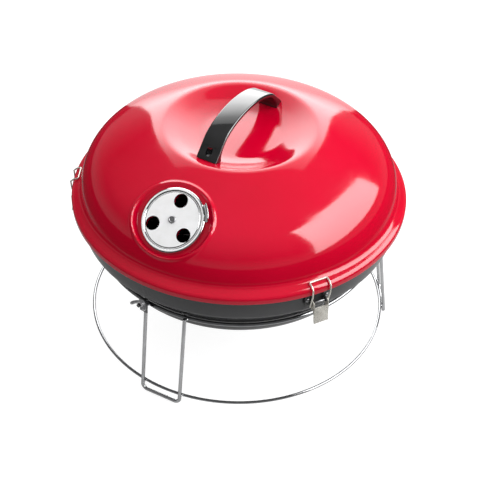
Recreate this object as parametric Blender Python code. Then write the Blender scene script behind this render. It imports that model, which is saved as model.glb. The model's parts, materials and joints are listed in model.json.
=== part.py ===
"""Portable kettle charcoal grill, modelled as the separate pieces it is assembled from.

A pressed-steel lid with a turning air damper and a strap handle sits over a deep bowl with two grates.
Three toggle latches hold the lid down, and a stand of two wire rings and three U-shaped legs carries the bowl.
Metres, +Z up. The origin is on the kettle's axis, on the floor that the legs stand on.
"""

import math

import bmesh
import bpy
from mathutils import Matrix, Vector

# ---------------------------------------------------------------- driving dimensions
GAP = 0.0003                    # clearance kept between pieces that touch
LID_WALL = 0.0012
BOWL_WALL = 0.0012
TURNED_SEGMENTS = 40            # sides of the lid, the bowl and the rings

# Lid outline, from the recess floor over the crest and down the dome to the skirt: (radius, height).
LID_OUTLINE = [
    (0.0, 0.2443), (0.0410, 0.2443), (0.0450, 0.2447), (0.0540, 0.2468), (0.0630, 0.2496),
    (0.0710, 0.2529), (0.0770, 0.2554), (0.0805, 0.2566), (0.0828, 0.2569), (0.0860, 0.2562),
    (0.0950, 0.2532), (0.1100, 0.2470), (0.1290, 0.2382), (0.1417, 0.2316), (0.1526, 0.2246),
    (0.1612, 0.2165), (0.1674, 0.2071), (0.1710, 0.1975), (0.1728, 0.1888), (0.1735, 0.1838),
    (0.1750, 0.1814), (0.1770, 0.1801), (0.1792, 0.1791), (0.1815, 0.1780), (0.1832, 0.1767),
    (0.1840, 0.1752), (0.1840, 0.1695),
]

# Bowl outline below its rolled rim, outer side: upper wall, grate ledge, lower wall, flat bottom.
BOWL_OUTLINE = [
    (0.1772, 0.1723), (0.1768, 0.1690), (0.1745, 0.1440), (0.1735, 0.1405), (0.1690, 0.1380),
    (0.1662, 0.1350), (0.1600, 0.1250), (0.1542, 0.1145), (0.1506, 0.1050), (0.1465, 0.0970),
    (0.1400, 0.0905), (0.1290, 0.0845), (0.1100, 0.0785), (0.0800, 0.0735), (0.0500, 0.0710),
    (0.0, 0.0710),
]
BOWL_RIM_RADIUS = 0.1790        # middle of the rolled rim
BOWL_RIM_HEIGHT = 0.1749
BOWL_RIM_ROLL = 0.0021
BOWL_BOTTOM = 0.0710

# Air damper: a disc on a flat pad that is pressed into the side of the dome.
VENT_AZIMUTH = math.radians(242.5)
VENT_ELEVATION = math.radians(52.0)
VENT_RADIUS = 0.1384            # middle of the pad
VENT_HEIGHT = 0.2241
VENT_PAD_RADIUS = 0.0435
DAMPER_RADIUS = 0.0340
DAMPER_HEIGHT = 0.0050
AIR_HOLE_RADIUS = 0.0074
AIR_HOLE_CIRCLE = 0.0207
AIR_HOLE_START = math.radians(88.0)
DAMPER_TAB_AZIMUTH = math.radians(31.0)
RIVET_SHANK = 0.0020
RIVET_HEAD = (0.0042, 0.0014)   # radius and height of a damper rivet's head
RIVET_TAIL = (0.0036, 0.0010)   # radius and height of its clinched end

# Handle: a strap arch across the recess.
HANDLE_AZIMUTH = math.radians(60.0)
HANDLE_WIDTH = 0.0240
HANDLE_SCREW_OFFSET = 0.0625
HANDLE_SCREW_SEAT = 0.2537      # bottom of the counterbore that the screw's head sits in
SCREW_SHANK = 0.0015

# Bowl damper and the two grates.
BOWL_DAMPER_RADIUS = 0.0360
BOWL_DAMPER_SHEET = 0.0010
BOWL_DAMPER_TAB_AZIMUTH = math.radians(60.0)
BOWL_AIR_CIRCLE = 0.0230
COOKING_GRATE_RADIUS = 0.1682
COOKING_GRATE_HEIGHT = 0.1422
CHARCOAL_GRATE_RADIUS = 0.1270
CHARCOAL_GRATE_HEIGHT = 0.0902

# Wire stand.
LEG_AZIMUTHS = {"leg_right": 2.2, "leg_rear": 122.2, "leg_front": 242.2}
LEG_WIRE = 0.0020
LEG_HALF_WIDTH = 0.0235
LEG_FOOT_DISTANCE = 0.1752      # from the kettle's axis to the foot bar
LEG_TOP_DISTANCE = 0.1596
LEG_TOP_HEIGHT = 0.1165
LEG_CORNER = 0.0060
UPPER_RING_RADIUS = 0.1570
UPPER_RING_HEIGHT = 0.1147
UPPER_RING_WIRE = 0.0020
BASE_RING_RADIUS = 0.1712
BASE_RING_HEIGHT = 0.0100
BASE_RING_WIRE = 0.0016
CLAMP_BOLT_DISTANCE = 0.1643
CLAMP_BOLT_HEIGHT = 0.1225
BOLT_SHANK = 0.0020

# Toggle latches. Each is drawn in its own radial plane: (distance from the kettle's axis, height).
LATCH_AZIMUTHS = {"latch_front": 297.0, "latch_rear": 57.0, "latch_left": 177.0}
LATCH_PIN = (0.1835, 0.1575)
BAIL_PIVOT = (0.1820, 0.1515)
LATCH_PLATE_INNER = 0.1771
LATCH_PLATE = 0.0010
LATCH_HALF_WIDTH = 0.0140
LATCH_PLATE_LOW = 0.1490
LATCH_PLATE_HIGH = 0.1670
EAR_INNER = 0.0060
EAR_OUTER = 0.0070
LEVER_INNER = 0.0076
LEVER_OUTER = 0.0084
PIN_RADIUS = 0.00095
BAIL_WIRE = 0.0009
BAIL_HALF_WIDTH = 0.0100
LATCH_RIVET_OFFSET = 0.0110
LATCH_RIVET_HEIGHT = 0.1580
LATCH_RIVET_SHANK = 0.0012

RED = (0.47, 0.003, 0.012)
BLACK = (0.010, 0.010, 0.011)
CHROME = (0.72, 0.73, 0.75)
NICKEL = (0.55, 0.53, 0.48)
STEEL = (0.42, 0.42, 0.43)


# ---------------------------------------------------------------- scene, materials and objects
def clear_scene():
    """Remove every object that the file starts with."""
    for obj in list(bpy.data.objects):
        bpy.data.objects.remove(obj, do_unlink=True)


def make_material(name, color, roughness, metallic):
    """A plain Principled material."""
    material = bpy.data.materials.new(name)
    material.use_nodes = True
    shader = material.node_tree.nodes["Principled BSDF"]
    shader.inputs["Base Color"].default_value = (*color, 1.0)
    shader.inputs["Roughness"].default_value = roughness
    shader.inputs["Metallic"].default_value = metallic
    return material


def add_object(name, bm, material, matrix=None, smooth=True):
    """Close a bmesh into a named object whose faces all point out."""
    bmesh.ops.recalc_face_normals(bm, faces=bm.faces)
    mesh = bpy.data.meshes.new(name)
    bm.to_mesh(mesh)
    bm.free()
    if material:
        mesh.materials.append(material)
    if smooth:
        mesh.shade_smooth()
        mesh.set_sharp_from_angle(angle=math.radians(35))
    obj = bpy.data.objects.new(name, mesh)
    bpy.context.scene.collection.objects.link(obj)
    if matrix is not None:
        obj.matrix_world = matrix
    return obj


def add_cutter(name, bm, matrix=None):
    """A hidden helper that Boolean modifiers read."""
    cutter = add_object(name, bm, None, matrix, smooth=False)
    cutter.hide_render = True
    cutter.display_type = "WIRE"
    return cutter


def add_boolean(obj, other, operation="DIFFERENCE"):
    """Cut or join with the exact solver."""
    modifier = obj.modifiers.new(operation.title(), "BOOLEAN")
    modifier.operation = operation
    modifier.solver = "EXACT"
    modifier.object = other


# ---------------------------------------------------------------- shapes
def offset_inward(outline, distance):
    """Shift an outline of (radius, height) points to its inner side by a wall thickness."""
    inner = []
    last = len(outline) - 1
    for index, (radius, height) in enumerate(outline):
        before = Vector(outline[max(index - 1, 0)])
        after = Vector(outline[min(index + 1, last)])
        along = (after - before).normalized()
        inward = Vector((along.y, -along.x))
        if radius == 0.0:
            inner.append((0.0, height + inward.y * distance))
        else:
            inner.append((radius + inward.x * distance, height + inward.y * distance))
    return inner


def revolve(bm, profile, segments, closed=False):
    """Turn a profile of (radius, height) points about Z. A point on the axis becomes one vertex."""
    rings = []
    for radius, height in profile:
        if radius < 1e-7:
            rings.append([bm.verts.new((0.0, 0.0, height))])
            continue
        ring = []
        for step in range(segments):
            angle = 2.0 * math.pi * step / segments
            ring.append(bm.verts.new((radius * math.cos(angle), radius * math.sin(angle), height)))
        rings.append(ring)
    pairs = list(zip(rings[:-1], rings[1:]))
    if closed:
        pairs.append((rings[-1], rings[0]))
    for upper, lower in pairs:
        for step in range(segments):
            after = (step + 1) % segments
            corners = [upper[step % len(upper)], upper[after % len(upper)],
                       lower[after % len(lower)], lower[step % len(lower)]]
            unique = list(dict.fromkeys(corners))
            if len(unique) > 2:
                bm.faces.new(unique)


def extrude_outline(bm, outline, matrix, depth):
    """Extrude a flat outline, drawn in the matrix's X-Y plane, by depth to each side along its Z."""
    verts = [bm.verts.new(matrix @ Vector((x, y, -depth))) for x, y in outline]
    face = bm.faces.new(verts)
    extruded = bmesh.ops.extrude_face_region(bm, geom=[face])
    moved = [item for item in extruded["geom"] if isinstance(item, bmesh.types.BMVert)]
    shift = matrix.to_3x3() @ Vector((0.0, 0.0, 2.0 * depth))
    bmesh.ops.translate(bm, verts=moved, vec=shift)


def add_cylinder(bm, start, end, radius, segments=12):
    """A capped cylinder between two points."""
    start = Vector(start)
    axis = Vector(end) - start
    turn = axis.to_track_quat("Z", "Y").to_matrix().to_4x4()
    middle = Matrix.Translation(start + axis / 2.0)
    bmesh.ops.create_cone(bm, cap_ends=True, segments=segments, radius1=radius, radius2=radius,
                          depth=axis.length, matrix=middle @ turn)


def add_box(bm, low, high):
    """An axis-aligned box between two corners."""
    low = Vector(low)
    high = Vector(high)
    placed = Matrix.Translation((low + high) / 2.0) @ Matrix.Diagonal((*(high - low), 1.0))
    bmesh.ops.create_cube(bm, size=1.0, matrix=placed)


def round_corners(points, radius, steps):
    """Replace each inner corner of an open path by an arc of the given radius."""
    path = [Vector(points[0])]
    for before, corner, after in zip(points[:-2], points[1:-1], points[2:]):
        corner = Vector(corner)
        to_before = (Vector(before) - corner).normalized()
        to_after = (Vector(after) - corner).normalized()
        half_angle = to_before.angle(to_after) / 2.0
        centre = corner + (to_before + to_after).normalized() * radius / math.sin(half_angle)
        first = corner + to_before * radius / math.tan(half_angle) - centre
        last = corner + to_after * radius / math.tan(half_angle) - centre
        for step in range(steps + 1):
            path.append(centre + first.slerp(last, step / steps).normalized() * radius)
    path.append(Vector(points[-1]))
    return path


def sweep_wire(bm, path, radius, sides, across, phase=0.0, closed=False):
    """Sweep a round wire along a path. across is a direction that the path is square to, or nearly so."""
    count = len(path)
    rings = []
    for index, point in enumerate(path):
        if closed:
            along = path[(index + 1) % count] - path[index - 1]
        else:
            along = path[min(index + 1, count - 1)] - path[max(index - 1, 0)]
        along = along.normalized()
        first = (across - along * across.dot(along)).normalized()
        second = along.cross(first)
        ring = []
        for step in range(sides):
            angle = phase + 2.0 * math.pi * step / sides
            ring.append(bm.verts.new(point + (first * math.cos(angle) + second * math.sin(angle)) * radius))
        rings.append(ring)
    pairs = list(zip(rings[:-1], rings[1:]))
    if closed:
        pairs.append((rings[-1], rings[0]))
    else:
        bm.faces.new(rings[0])
        bm.faces.new(rings[-1])
    for here, there in pairs:
        for step in range(sides):
            after = (step + 1) % sides
            bm.faces.new([here[step], here[after], there[after], there[step]])


def circle_path(radius, height, segments):
    """Points of a level circle about the kettle's axis."""
    turns = [2.0 * math.pi * step / segments for step in range(segments)]
    return [Vector((radius * math.cos(turn), radius * math.sin(turn), height)) for turn in turns]


def arc_points(centre, radius, start, end, steps):
    """Points along an arc, in degrees."""
    points = []
    for step in range(steps + 1):
        angle = math.radians(start + (end - start) * step / steps)
        points.append((centre[0] + radius * math.cos(angle), centre[1] + radius * math.sin(angle)))
    return points


def around(azimuth):
    """Rotation that takes the radial X direction to an azimuth in degrees."""
    return Matrix.Rotation(math.radians(azimuth), 4, "Z")


def axis_frame(point, direction):
    """Frame at a point whose Z runs along a direction."""
    return Matrix.Translation(Vector(point)) @ Vector(direction).to_track_quat("Z", "Y").to_matrix().to_4x4()


def add_fastener(name, material, matrix, head, shank_radius, length, tail=None):
    """A turned fastener along +Z of its frame: the head is above z = 0 and the shank runs down to -length.

    head is its (radius, height), and tail the (radius, height) of a rivet's clinched end, below the shank.
    """
    head_radius, head_height = head
    profile = [(0.0, head_height), (head_radius * 0.7, head_height * 0.85), (head_radius, 0.0),
               (shank_radius, 0.0), (shank_radius, -length)]
    if tail:
        profile += [(tail[0], -length), (tail[0] * 0.7, -length - tail[1]), (0.0, -length - tail[1])]
    else:
        profile.append((0.0, -length))
    bm = bmesh.new()
    revolve(bm, profile, 10)
    return add_object(name, bm, material, matrix)


# ---------------------------------------------------------------- lid
def vent_frame():
    """Frame at the middle of the vent pad: Z along the pad's normal, X level, Y up the dome."""
    level = Vector((-math.sin(VENT_AZIMUTH), math.cos(VENT_AZIMUTH), 0.0))
    outward = Vector((math.cos(VENT_AZIMUTH), math.sin(VENT_AZIMUTH), 0.0))
    normal = outward * math.cos(VENT_ELEVATION) + Vector((0.0, 0.0, math.sin(VENT_ELEVATION)))
    uphill = normal.cross(level)
    frame = Matrix((level, uphill, normal)).transposed().to_4x4()
    middle = outward * VENT_RADIUS + Vector((0.0, 0.0, VENT_HEIGHT))
    return Matrix.Translation(middle) @ frame


def handle_frame():
    """Frame on the kettle's axis whose X runs along the handle."""
    return Matrix.Rotation(HANDLE_AZIMUTH, 4, "Z")


def pad_cutter(name, radius, depth):
    """The round tool that presses the vent pad, ending at depth below the pad's face."""
    bm = bmesh.new()
    add_cylinder(bm, (0.0, 0.0, -depth), (0.0, 0.0, 0.04), radius, 40)
    return add_cutter(name, bm, vent_frame())


def air_holes(bm, circle, start, length):
    """Three round air holes and the middle rivet's hole, along Z."""
    for step in range(3):
        angle = start + 2.0 * math.pi * step / 3.0
        centre = Vector((circle * math.cos(angle), circle * math.sin(angle), 0.0))
        lift = Vector((0.0, 0.0, length))
        add_cylinder(bm, centre - lift, centre + lift, AIR_HOLE_RADIUS, 16)
    add_cylinder(bm, (0.0, 0.0, -length), (0.0, 0.0, length), RIVET_SHANK + GAP, 12)


def build_lid(red):
    """The pressed lid: the outer form less the inner form, with its pad and holes."""
    inner_outline = offset_inward(LID_OUTLINE, LID_WALL)
    skirt_bottom = LID_OUTLINE[-1][1]

    bm = bmesh.new()
    revolve(bm, LID_OUTLINE + [(0.0, skirt_bottom)], TURNED_SEGMENTS)
    lid = add_object("lid_shell", bm, red)

    bm = bmesh.new()
    below = skirt_bottom - 0.01
    revolve(bm, inner_outline + [(inner_outline[-1][0], below), (0.0, below)], TURNED_SEGMENTS)
    hollow = add_cutter("lid_hollow_cutter", bm)

    add_boolean(lid, pad_cutter("lid_pad_cutter", VENT_PAD_RADIUS, 0.0))
    add_boolean(hollow, pad_cutter("lid_pad_inner_cutter", VENT_PAD_RADIUS + LID_WALL, LID_WALL))
    add_boolean(lid, hollow)

    bm = bmesh.new()
    air_holes(bm, AIR_HOLE_CIRCLE, AIR_HOLE_START, 0.004)
    bm.transform(vent_frame())
    for side in (-1.0, 1.0):
        foot = handle_frame() @ Vector((side * HANDLE_SCREW_OFFSET, 0.0, 0.0))
        add_cylinder(bm, foot + Vector((0.0, 0.0, 0.243)), foot + Vector((0.0, 0.0, 0.252)),
                     SCREW_SHANK + GAP, 12)
    add_boolean(lid, add_cutter("lid_hole_cutter", bm))


def build_damper(chrome, steel):
    """The turning disc with its raised rim, air holes and finger tab, and the rivet it turns on."""
    frame = vent_frame()
    outer = DAMPER_RADIUS
    top = DAMPER_HEIGHT
    face = top - 0.0004
    groove = top - 0.0012
    under = top - 0.0022
    disc = [(0.0, face), (outer - 0.0056, face), (outer - 0.0048, groove), (outer - 0.0038, groove),
            (outer - 0.0030, top), (outer - 0.0010, top), (outer, top - 0.0010), (outer, GAP),
            (outer - 0.0012, GAP), (outer - 0.0012, under), (0.0, under)]
    bm = bmesh.new()
    revolve(bm, disc, TURNED_SEGMENTS)
    damper = add_object("lid_damper", bm, chrome, frame)

    tab = [(outer - 0.0006, 0.0016), (outer + 0.0024, 0.0016), (outer + 0.0046, 0.0090),
           (outer + 0.0038, 0.0092), (outer + 0.0016, 0.0026), (outer - 0.0006, 0.0026)]
    bm = bmesh.new()
    upright = Matrix.Rotation(math.radians(90), 4, "X")
    extrude_outline(bm, tab, upright, 0.0095)
    turn = Matrix.Rotation(DAMPER_TAB_AZIMUTH, 4, "Z")
    add_boolean(damper, add_cutter("lid_damper_tab", bm, frame @ turn), "UNION")

    bm = bmesh.new()
    air_holes(bm, AIR_HOLE_CIRCLE, AIR_HOLE_START, 0.012)
    add_boolean(damper, add_cutter("lid_damper_hole_cutter", bm, frame))

    seat = frame @ Matrix.Translation((0.0, 0.0, face + GAP))
    reach = face + LID_WALL + 2.0 * GAP
    add_fastener("lid_damper_rivet", steel, seat, RIVET_HEAD, RIVET_SHANK, reach, RIVET_TAIL)


def build_handle(black, steel):
    """The strap arch, its two recessed screws and the nuts below the lid."""
    outer = [(-0.0690, 0.2530), (-0.0662, 0.2560), (-0.0620, 0.2600), (-0.0560, 0.2663), (-0.0490, 0.2721),
             (-0.0370, 0.2778), (-0.0215, 0.2818), (0.0, 0.2836)]
    inner = [(0.0, 0.2792), (-0.0205, 0.2774), (-0.0345, 0.2738), (-0.0450, 0.2688), (-0.0515, 0.2634),
             (-0.0553, 0.2585), (-0.0570, 0.2540), (-0.0575, 0.2485)]
    outer_right = [(-x, z) for x, z in reversed(outer[:-1])]
    inner_right = [(-x, z) for x, z in reversed(inner[1:])]
    outline = outer + outer_right + inner_right + inner
    bm = bmesh.new()
    extrude_outline(bm, outline, handle_frame() @ Matrix.Rotation(math.radians(90), 4, "X"), HANDLE_WIDTH / 2.0)
    handle = add_object("lid_handle", bm, black)

    bore = SCREW_SHANK + GAP
    stepped_bore = [(0.0, 0.2700), (0.0036, 0.2700), (0.0036, HANDLE_SCREW_SEAT), (bore, HANDLE_SCREW_SEAT),
                    (bore, 0.2400), (0.0, 0.2400)]
    for name, side in (("front", -1.0), ("rear", 1.0)):
        foot = handle_frame() @ Vector((side * HANDLE_SCREW_OFFSET, 0.0, 0.0))
        bm = bmesh.new()
        revolve(bm, stepped_bore, 16)
        add_boolean(handle, add_cutter("handle_bore_cutter_" + name, bm, Matrix.Translation(foot)))
        seat = Matrix.Translation(foot + Vector((0.0, 0.0, HANDLE_SCREW_SEAT + GAP)))
        add_fastener("handle_screw_" + name, steel, seat, (0.0031, 0.0018), SCREW_SHANK, 0.0110)
        bm = bmesh.new()
        nut = [(bore, 0.2458), (0.0032, 0.2458), (0.0032, 0.2434), (bore, 0.2434)]
        revolve(bm, nut, 6, closed=True)
        add_object("handle_nut_" + name, bm, steel, Matrix.Translation(foot), smooth=False)


# ---------------------------------------------------------------- bowl and grates
def build_bowl(black):
    """The deep dish with its rolled rim, grate ledge, air holes and the holes for its fasteners."""
    rim = (BOWL_RIM_RADIUS, BOWL_RIM_HEIGHT)
    rolled = arc_points(rim, BOWL_RIM_ROLL, 190.0, -105.0, 8)
    inner = offset_inward(BOWL_OUTLINE, BOWL_WALL)
    bm = bmesh.new()
    revolve(bm, list(reversed(inner)) + rolled + BOWL_OUTLINE, TURNED_SEGMENTS)
    bowl = add_object("bowl_shell", bm, black)

    bm = bmesh.new()
    air_holes(bm, BOWL_AIR_CIRCLE, 0.0, 0.006)
    bm.transform(Matrix.Translation((0.0, 0.0, BOWL_BOTTOM)))
    for azimuth in LATCH_AZIMUTHS.values():
        for side in (-1.0, 1.0):
            y = side * LATCH_RIVET_OFFSET
            start = around(azimuth) @ Vector((0.168, y, LATCH_RIVET_HEIGHT))
            end = around(azimuth) @ Vector((0.181, y, LATCH_RIVET_HEIGHT))
            add_cylinder(bm, start, end, LATCH_RIVET_SHANK + GAP, 8)
    for azimuth in LEG_AZIMUTHS.values():
        bolt = clamp_bolt_frame(azimuth)
        add_cylinder(bm, bolt @ Vector((0.0, 0.0, -0.012)), bolt @ Vector((0.0, 0.0, 0.006)),
                     BOLT_SHANK + GAP, 10)
        stop = stop_screw_frame(azimuth)
        add_cylinder(bm, stop @ Vector((0.0, 0.0, -0.006)), stop @ Vector((0.0, 0.0, 0.006)),
                     SCREW_SHANK + GAP, 10)
    add_boolean(bowl, add_cutter("bowl_hole_cutter", bm))


def build_bowl_damper(steel):
    """The turning air inlet below the bowl, and its rivet."""
    top = BOWL_BOTTOM - GAP
    low = top - BOWL_DAMPER_SHEET
    radius = BOWL_DAMPER_RADIUS
    bm = bmesh.new()
    revolve(bm, [(0.0, top), (radius, top), (radius, low), (0.0, low)], 36)
    damper = add_object("bowl_damper", bm, steel)
    bm = bmesh.new()
    tab = [(radius - 0.002, -0.006), (radius + 0.012, -0.005), (radius + 0.012, 0.005), (radius - 0.002, 0.006)]
    extrude_outline(bm, tab, Matrix.Translation((0.0, 0.0, (top + low) / 2.0)), 0.0004)
    turn = Matrix.Rotation(BOWL_DAMPER_TAB_AZIMUTH, 4, "Z")
    add_boolean(damper, add_cutter("bowl_damper_tab", bm, turn), "UNION")
    bm = bmesh.new()
    air_holes(bm, BOWL_AIR_CIRCLE, 0.0, 0.006)
    bm.transform(Matrix.Translation((0.0, 0.0, BOWL_BOTTOM)))
    add_boolean(damper, add_cutter("bowl_damper_hole_cutter", bm))
    seat = Matrix.Translation((0.0, 0.0, low - GAP)) @ Matrix.Rotation(math.pi, 4, "X")
    reach = BOWL_DAMPER_SHEET + BOWL_WALL + 3.0 * GAP
    add_fastener("bowl_damper_rivet", steel, seat, RIVET_HEAD, RIVET_SHANK, reach, RIVET_TAIL)


def build_grate(name, material, radius, height, ring_wire, bar_wire, spacing, cross_bars):
    """A round grate: a wire ring with parallel bars along X welded to cross bars along Y."""
    bm = bmesh.new()
    up = Vector((0.0, 0.0, 1.0))
    sweep_wire(bm, circle_path(radius, height, TURNED_SEGMENTS), ring_wire, 6, up, closed=True)
    grate = add_object(name, bm, material)

    bm = bmesh.new()
    count = int((radius - ring_wire) / spacing)
    level = height + 0.3 * ring_wire
    for step in range(-count, count + 1):
        y = step * spacing
        reach = math.sqrt(radius * radius - y * y)
        add_cylinder(bm, (-reach, y, level), (reach, y, level), bar_wire, 5)
    add_boolean(grate, add_cutter(name + "_bars", bm), "UNION")

    bm = bmesh.new()
    for x in cross_bars:
        reach = math.sqrt(radius * radius - x * x)
        below = level - 1.37 * bar_wire
        add_cylinder(bm, (x, -reach, below), (x, reach, below), bar_wire, 5)
    add_boolean(grate, add_cutter(name + "_cross_bars", bm), "UNION")


# ---------------------------------------------------------------- stand
def leg_wire_turn():
    """Degrees from a leg's middle to the top of either of its wires, about the kettle's axis."""
    return math.degrees(math.asin(LEG_HALF_WIDTH / LEG_TOP_DISTANCE))


def clamp_bolt_frame(azimuth):
    """Frame of the clamp bolt above a leg's left wire: Z points out, level, square to the bowl's axis."""
    turn = leg_wire_turn()
    place = around(azimuth - turn) @ Vector((CLAMP_BOLT_DISTANCE, 0.0, CLAMP_BOLT_HEIGHT))
    outward = around(azimuth - turn) @ Vector((1.0, 0.0, 0.0))
    return axis_frame(place, outward)


def stop_screw_frame(azimuth):
    """Frame of the stop screw above a leg's right wire: Z is square to the bowl's sloping wall."""
    turn = leg_wire_turn()
    slope = Vector(BOWL_OUTLINE[6]) - Vector(BOWL_OUTLINE[7])
    normal = Vector((slope.y, 0.0, -slope.x)).normalized()
    wall = (Vector(BOWL_OUTLINE[6]) * 0.9 + Vector(BOWL_OUTLINE[7]) * 0.1)
    place = Vector((wall.x, 0.0, wall.y)) + normal * 2.0 * GAP
    return axis_frame(around(azimuth + turn) @ place, around(azimuth + turn).to_3x3() @ normal)


def build_rings(chrome):
    """The ring that the bowl sits in and the ring that ties the legs together near the floor."""
    up = Vector((0.0, 0.0, 1.0))
    bm = bmesh.new()
    path = circle_path(UPPER_RING_RADIUS, UPPER_RING_HEIGHT, TURNED_SEGMENTS)
    sweep_wire(bm, path, UPPER_RING_WIRE, 6, up, closed=True)
    add_object("stand_upper_ring", bm, chrome)
    bm = bmesh.new()
    path = circle_path(BASE_RING_RADIUS, BASE_RING_HEIGHT, TURNED_SEGMENTS)
    sweep_wire(bm, path, BASE_RING_WIRE, 6, up, closed=True)
    add_object("stand_base_ring", bm, chrome)


def build_leg(name, azimuth, chrome, black):
    """One U-shaped wire leg, its clamp plate, bolt and wing nut, and the stop screw beside it."""
    facet_lift = LEG_WIRE * math.cos(math.radians(22.5))
    foot = Vector((LEG_FOOT_DISTANCE, 0.0, facet_lift))
    top = Vector((LEG_TOP_DISTANCE, 0.0, LEG_TOP_HEIGHT))
    across = Vector((0.0, LEG_HALF_WIDTH, 0.0))
    path = round_corners([top - across, foot - across, foot + across, top + across], LEG_CORNER, 4)
    lean = top - foot
    square = Vector((0.0, 1.0, 0.0)).cross(lean).normalized()
    tilt = math.atan2(square.z, square.x)
    bm = bmesh.new()
    sweep_wire(bm, path, LEG_WIRE, 8, square, phase=math.radians(22.5) + tilt)
    add_object(name, bm, chrome, around(azimuth))

    bolt = clamp_bolt_frame(azimuth)
    bm = bmesh.new()
    plate = [(-0.0050, -0.0140), (0.0050, -0.0140), (0.0050, 0.0030), (0.0030, 0.0050),
             (-0.0030, 0.0050), (-0.0050, 0.0030)]
    upright = Matrix(((0, 0, 1, 0), (1, 0, 0, 0), (0, 1, 0, 0), (0, 0, 0, 1)))
    middle = Matrix.Translation((CLAMP_BOLT_DISTANCE + 0.0008, 0.0, CLAMP_BOLT_HEIGHT))
    place = around(azimuth - leg_wire_turn()) @ middle @ upright
    extrude_outline(bm, plate, place, 0.0008)
    clamp = add_object(name + "_clamp", bm, black, smooth=False)
    bm = bmesh.new()
    add_cylinder(bm, bolt @ Vector((0.0, 0.0, -0.005)), bolt @ Vector((0.0, 0.0, 0.008)),
                 BOLT_SHANK + GAP, 12)
    add_boolean(clamp, add_cutter(name + "_clamp_cutter", bm))

    inward = bolt @ Matrix.Translation((0.0, 0.0, -0.0102)) @ Matrix.Rotation(math.pi, 4, "X")
    add_fastener(name + "_bolt", black, inward, (0.0042, 0.0020), BOLT_SHANK, 0.0195)
    build_wing_nut(name + "_wing_nut", bolt @ Matrix.Translation((0.0, 0.0, 0.0016 + GAP)), chrome)

    stop = stop_screw_frame(azimuth)
    add_fastener(name + "_stop_screw", black, stop, (0.0036, 0.0018), SCREW_SHANK, 0.0045)


def build_wing_nut(name, matrix, material):
    """A wing nut on Z: a tapered hub with two rounded wings."""
    bore = BOLT_SHANK + GAP
    bm = bmesh.new()
    revolve(bm, [(bore, 0.0), (0.0045, 0.0), (0.0036, 0.0050), (bore, 0.0050)], 16, closed=True)
    nut = add_object(name, bm, material, matrix)
    for side in (-1.0, 1.0):
        wing = [(0.0032, 0.0006), (0.0060, 0.0012), (0.0094, 0.0052), (0.0096, 0.0082),
                (0.0080, 0.0096), (0.0062, 0.0086), (0.0032, 0.0040)]
        wing = [(side * x, z) for x, z in wing]
        bm = bmesh.new()
        extrude_outline(bm, wing, Matrix.Rotation(math.radians(90), 4, "X"), 0.0008)
        label = "_left_wing" if side < 0 else "_right_wing"
        add_boolean(nut, add_cutter(name + label, bm, matrix), "UNION")


# ---------------------------------------------------------------- latches
def radial_plane(origin):
    """Matrix that draws (radial, height) outlines about an origin and extrudes them sideways."""
    return Matrix(((1, 0, 0, origin[0]), (0, 0, 1, 0), (0, 1, 0, origin[1]), (0, 0, 0, 1)))


def build_latch(name, azimuth, black, nickel, steel):
    """A toggle latch: riveted base with two ears, lever, pivot pin and wire bail."""
    turn = around(azimuth)
    pin_x, pin_z = LATCH_PIN

    bm = bmesh.new()
    low = (LATCH_PLATE_INNER, -LATCH_HALF_WIDTH, LATCH_PLATE_LOW)
    high = (LATCH_PLATE_INNER + LATCH_PLATE, LATCH_HALF_WIDTH, LATCH_PLATE_HIGH)
    add_box(bm, low, high)
    base = add_object(name + "_base", bm, black, turn, smooth=False)
    root = LATCH_PLATE_INNER + LATCH_PLATE / 2.0
    reach = pin_x - root
    ear = [(root - pin_x, -0.0045), (0.3 * -reach, -0.0030), (0.0, -0.0028), (0.0020, -0.0020), (0.0028, 0.0),
           (0.0020, 0.0020), (0.0, 0.0028), (0.3 * -reach, 0.0032), (root - pin_x, 0.0050)]
    for side in (-1.0, 1.0):
        bm = bmesh.new()
        middle = side * (EAR_INNER + EAR_OUTER) / 2.0
        place = Matrix.Translation((0.0, middle, 0.0)) @ radial_plane(LATCH_PIN)
        extrude_outline(bm, ear, place, (EAR_OUTER - EAR_INNER) / 2.0)
        label = "_left_ear" if side < 0 else "_right_ear"
        add_boolean(base, add_cutter(name + label, bm, turn), "UNION")
    bm = bmesh.new()
    add_cylinder(bm, (pin_x, -0.02, pin_z), (pin_x, 0.02, pin_z), PIN_RADIUS + GAP, 12)
    for side in (-1.0, 1.0):
        y = side * LATCH_RIVET_OFFSET
        start = (0.170, y, LATCH_RIVET_HEIGHT)
        end = (0.181, y, LATCH_RIVET_HEIGHT)
        add_cylinder(bm, start, end, LATCH_RIVET_SHANK + GAP, 8)
    add_boolean(base, add_cutter(name + "_base_cutter", bm, turn))

    build_lever(name + "_lever", turn @ Matrix.Translation((pin_x, 0.0, pin_z)), nickel)
    build_bail(name + "_bail", turn @ Matrix.Translation((BAIL_PIVOT[0], 0.0, BAIL_PIVOT[1])), nickel)

    bm = bmesh.new()
    add_cylinder(bm, (0.0, -0.0088, 0.0), (0.0, 0.0088, 0.0), PIN_RADIUS, 12)
    add_object(name + "_pin", bm, steel, turn @ Matrix.Translation((pin_x, 0.0, pin_z)))

    for label, side in (("_rivet_left", -1.0), ("_rivet_right", 1.0)):
        outward = LATCH_PLATE_INNER + LATCH_PLATE + GAP
        seat = turn @ axis_frame((outward, side * LATCH_RIVET_OFFSET, LATCH_RIVET_HEIGHT), (1.0, 0.0, 0.0))
        add_fastener(name + label, steel, seat, (0.0023, 0.0011), LATCH_RIVET_SHANK, 0.0050, (0.0021, 0.0008))


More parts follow.
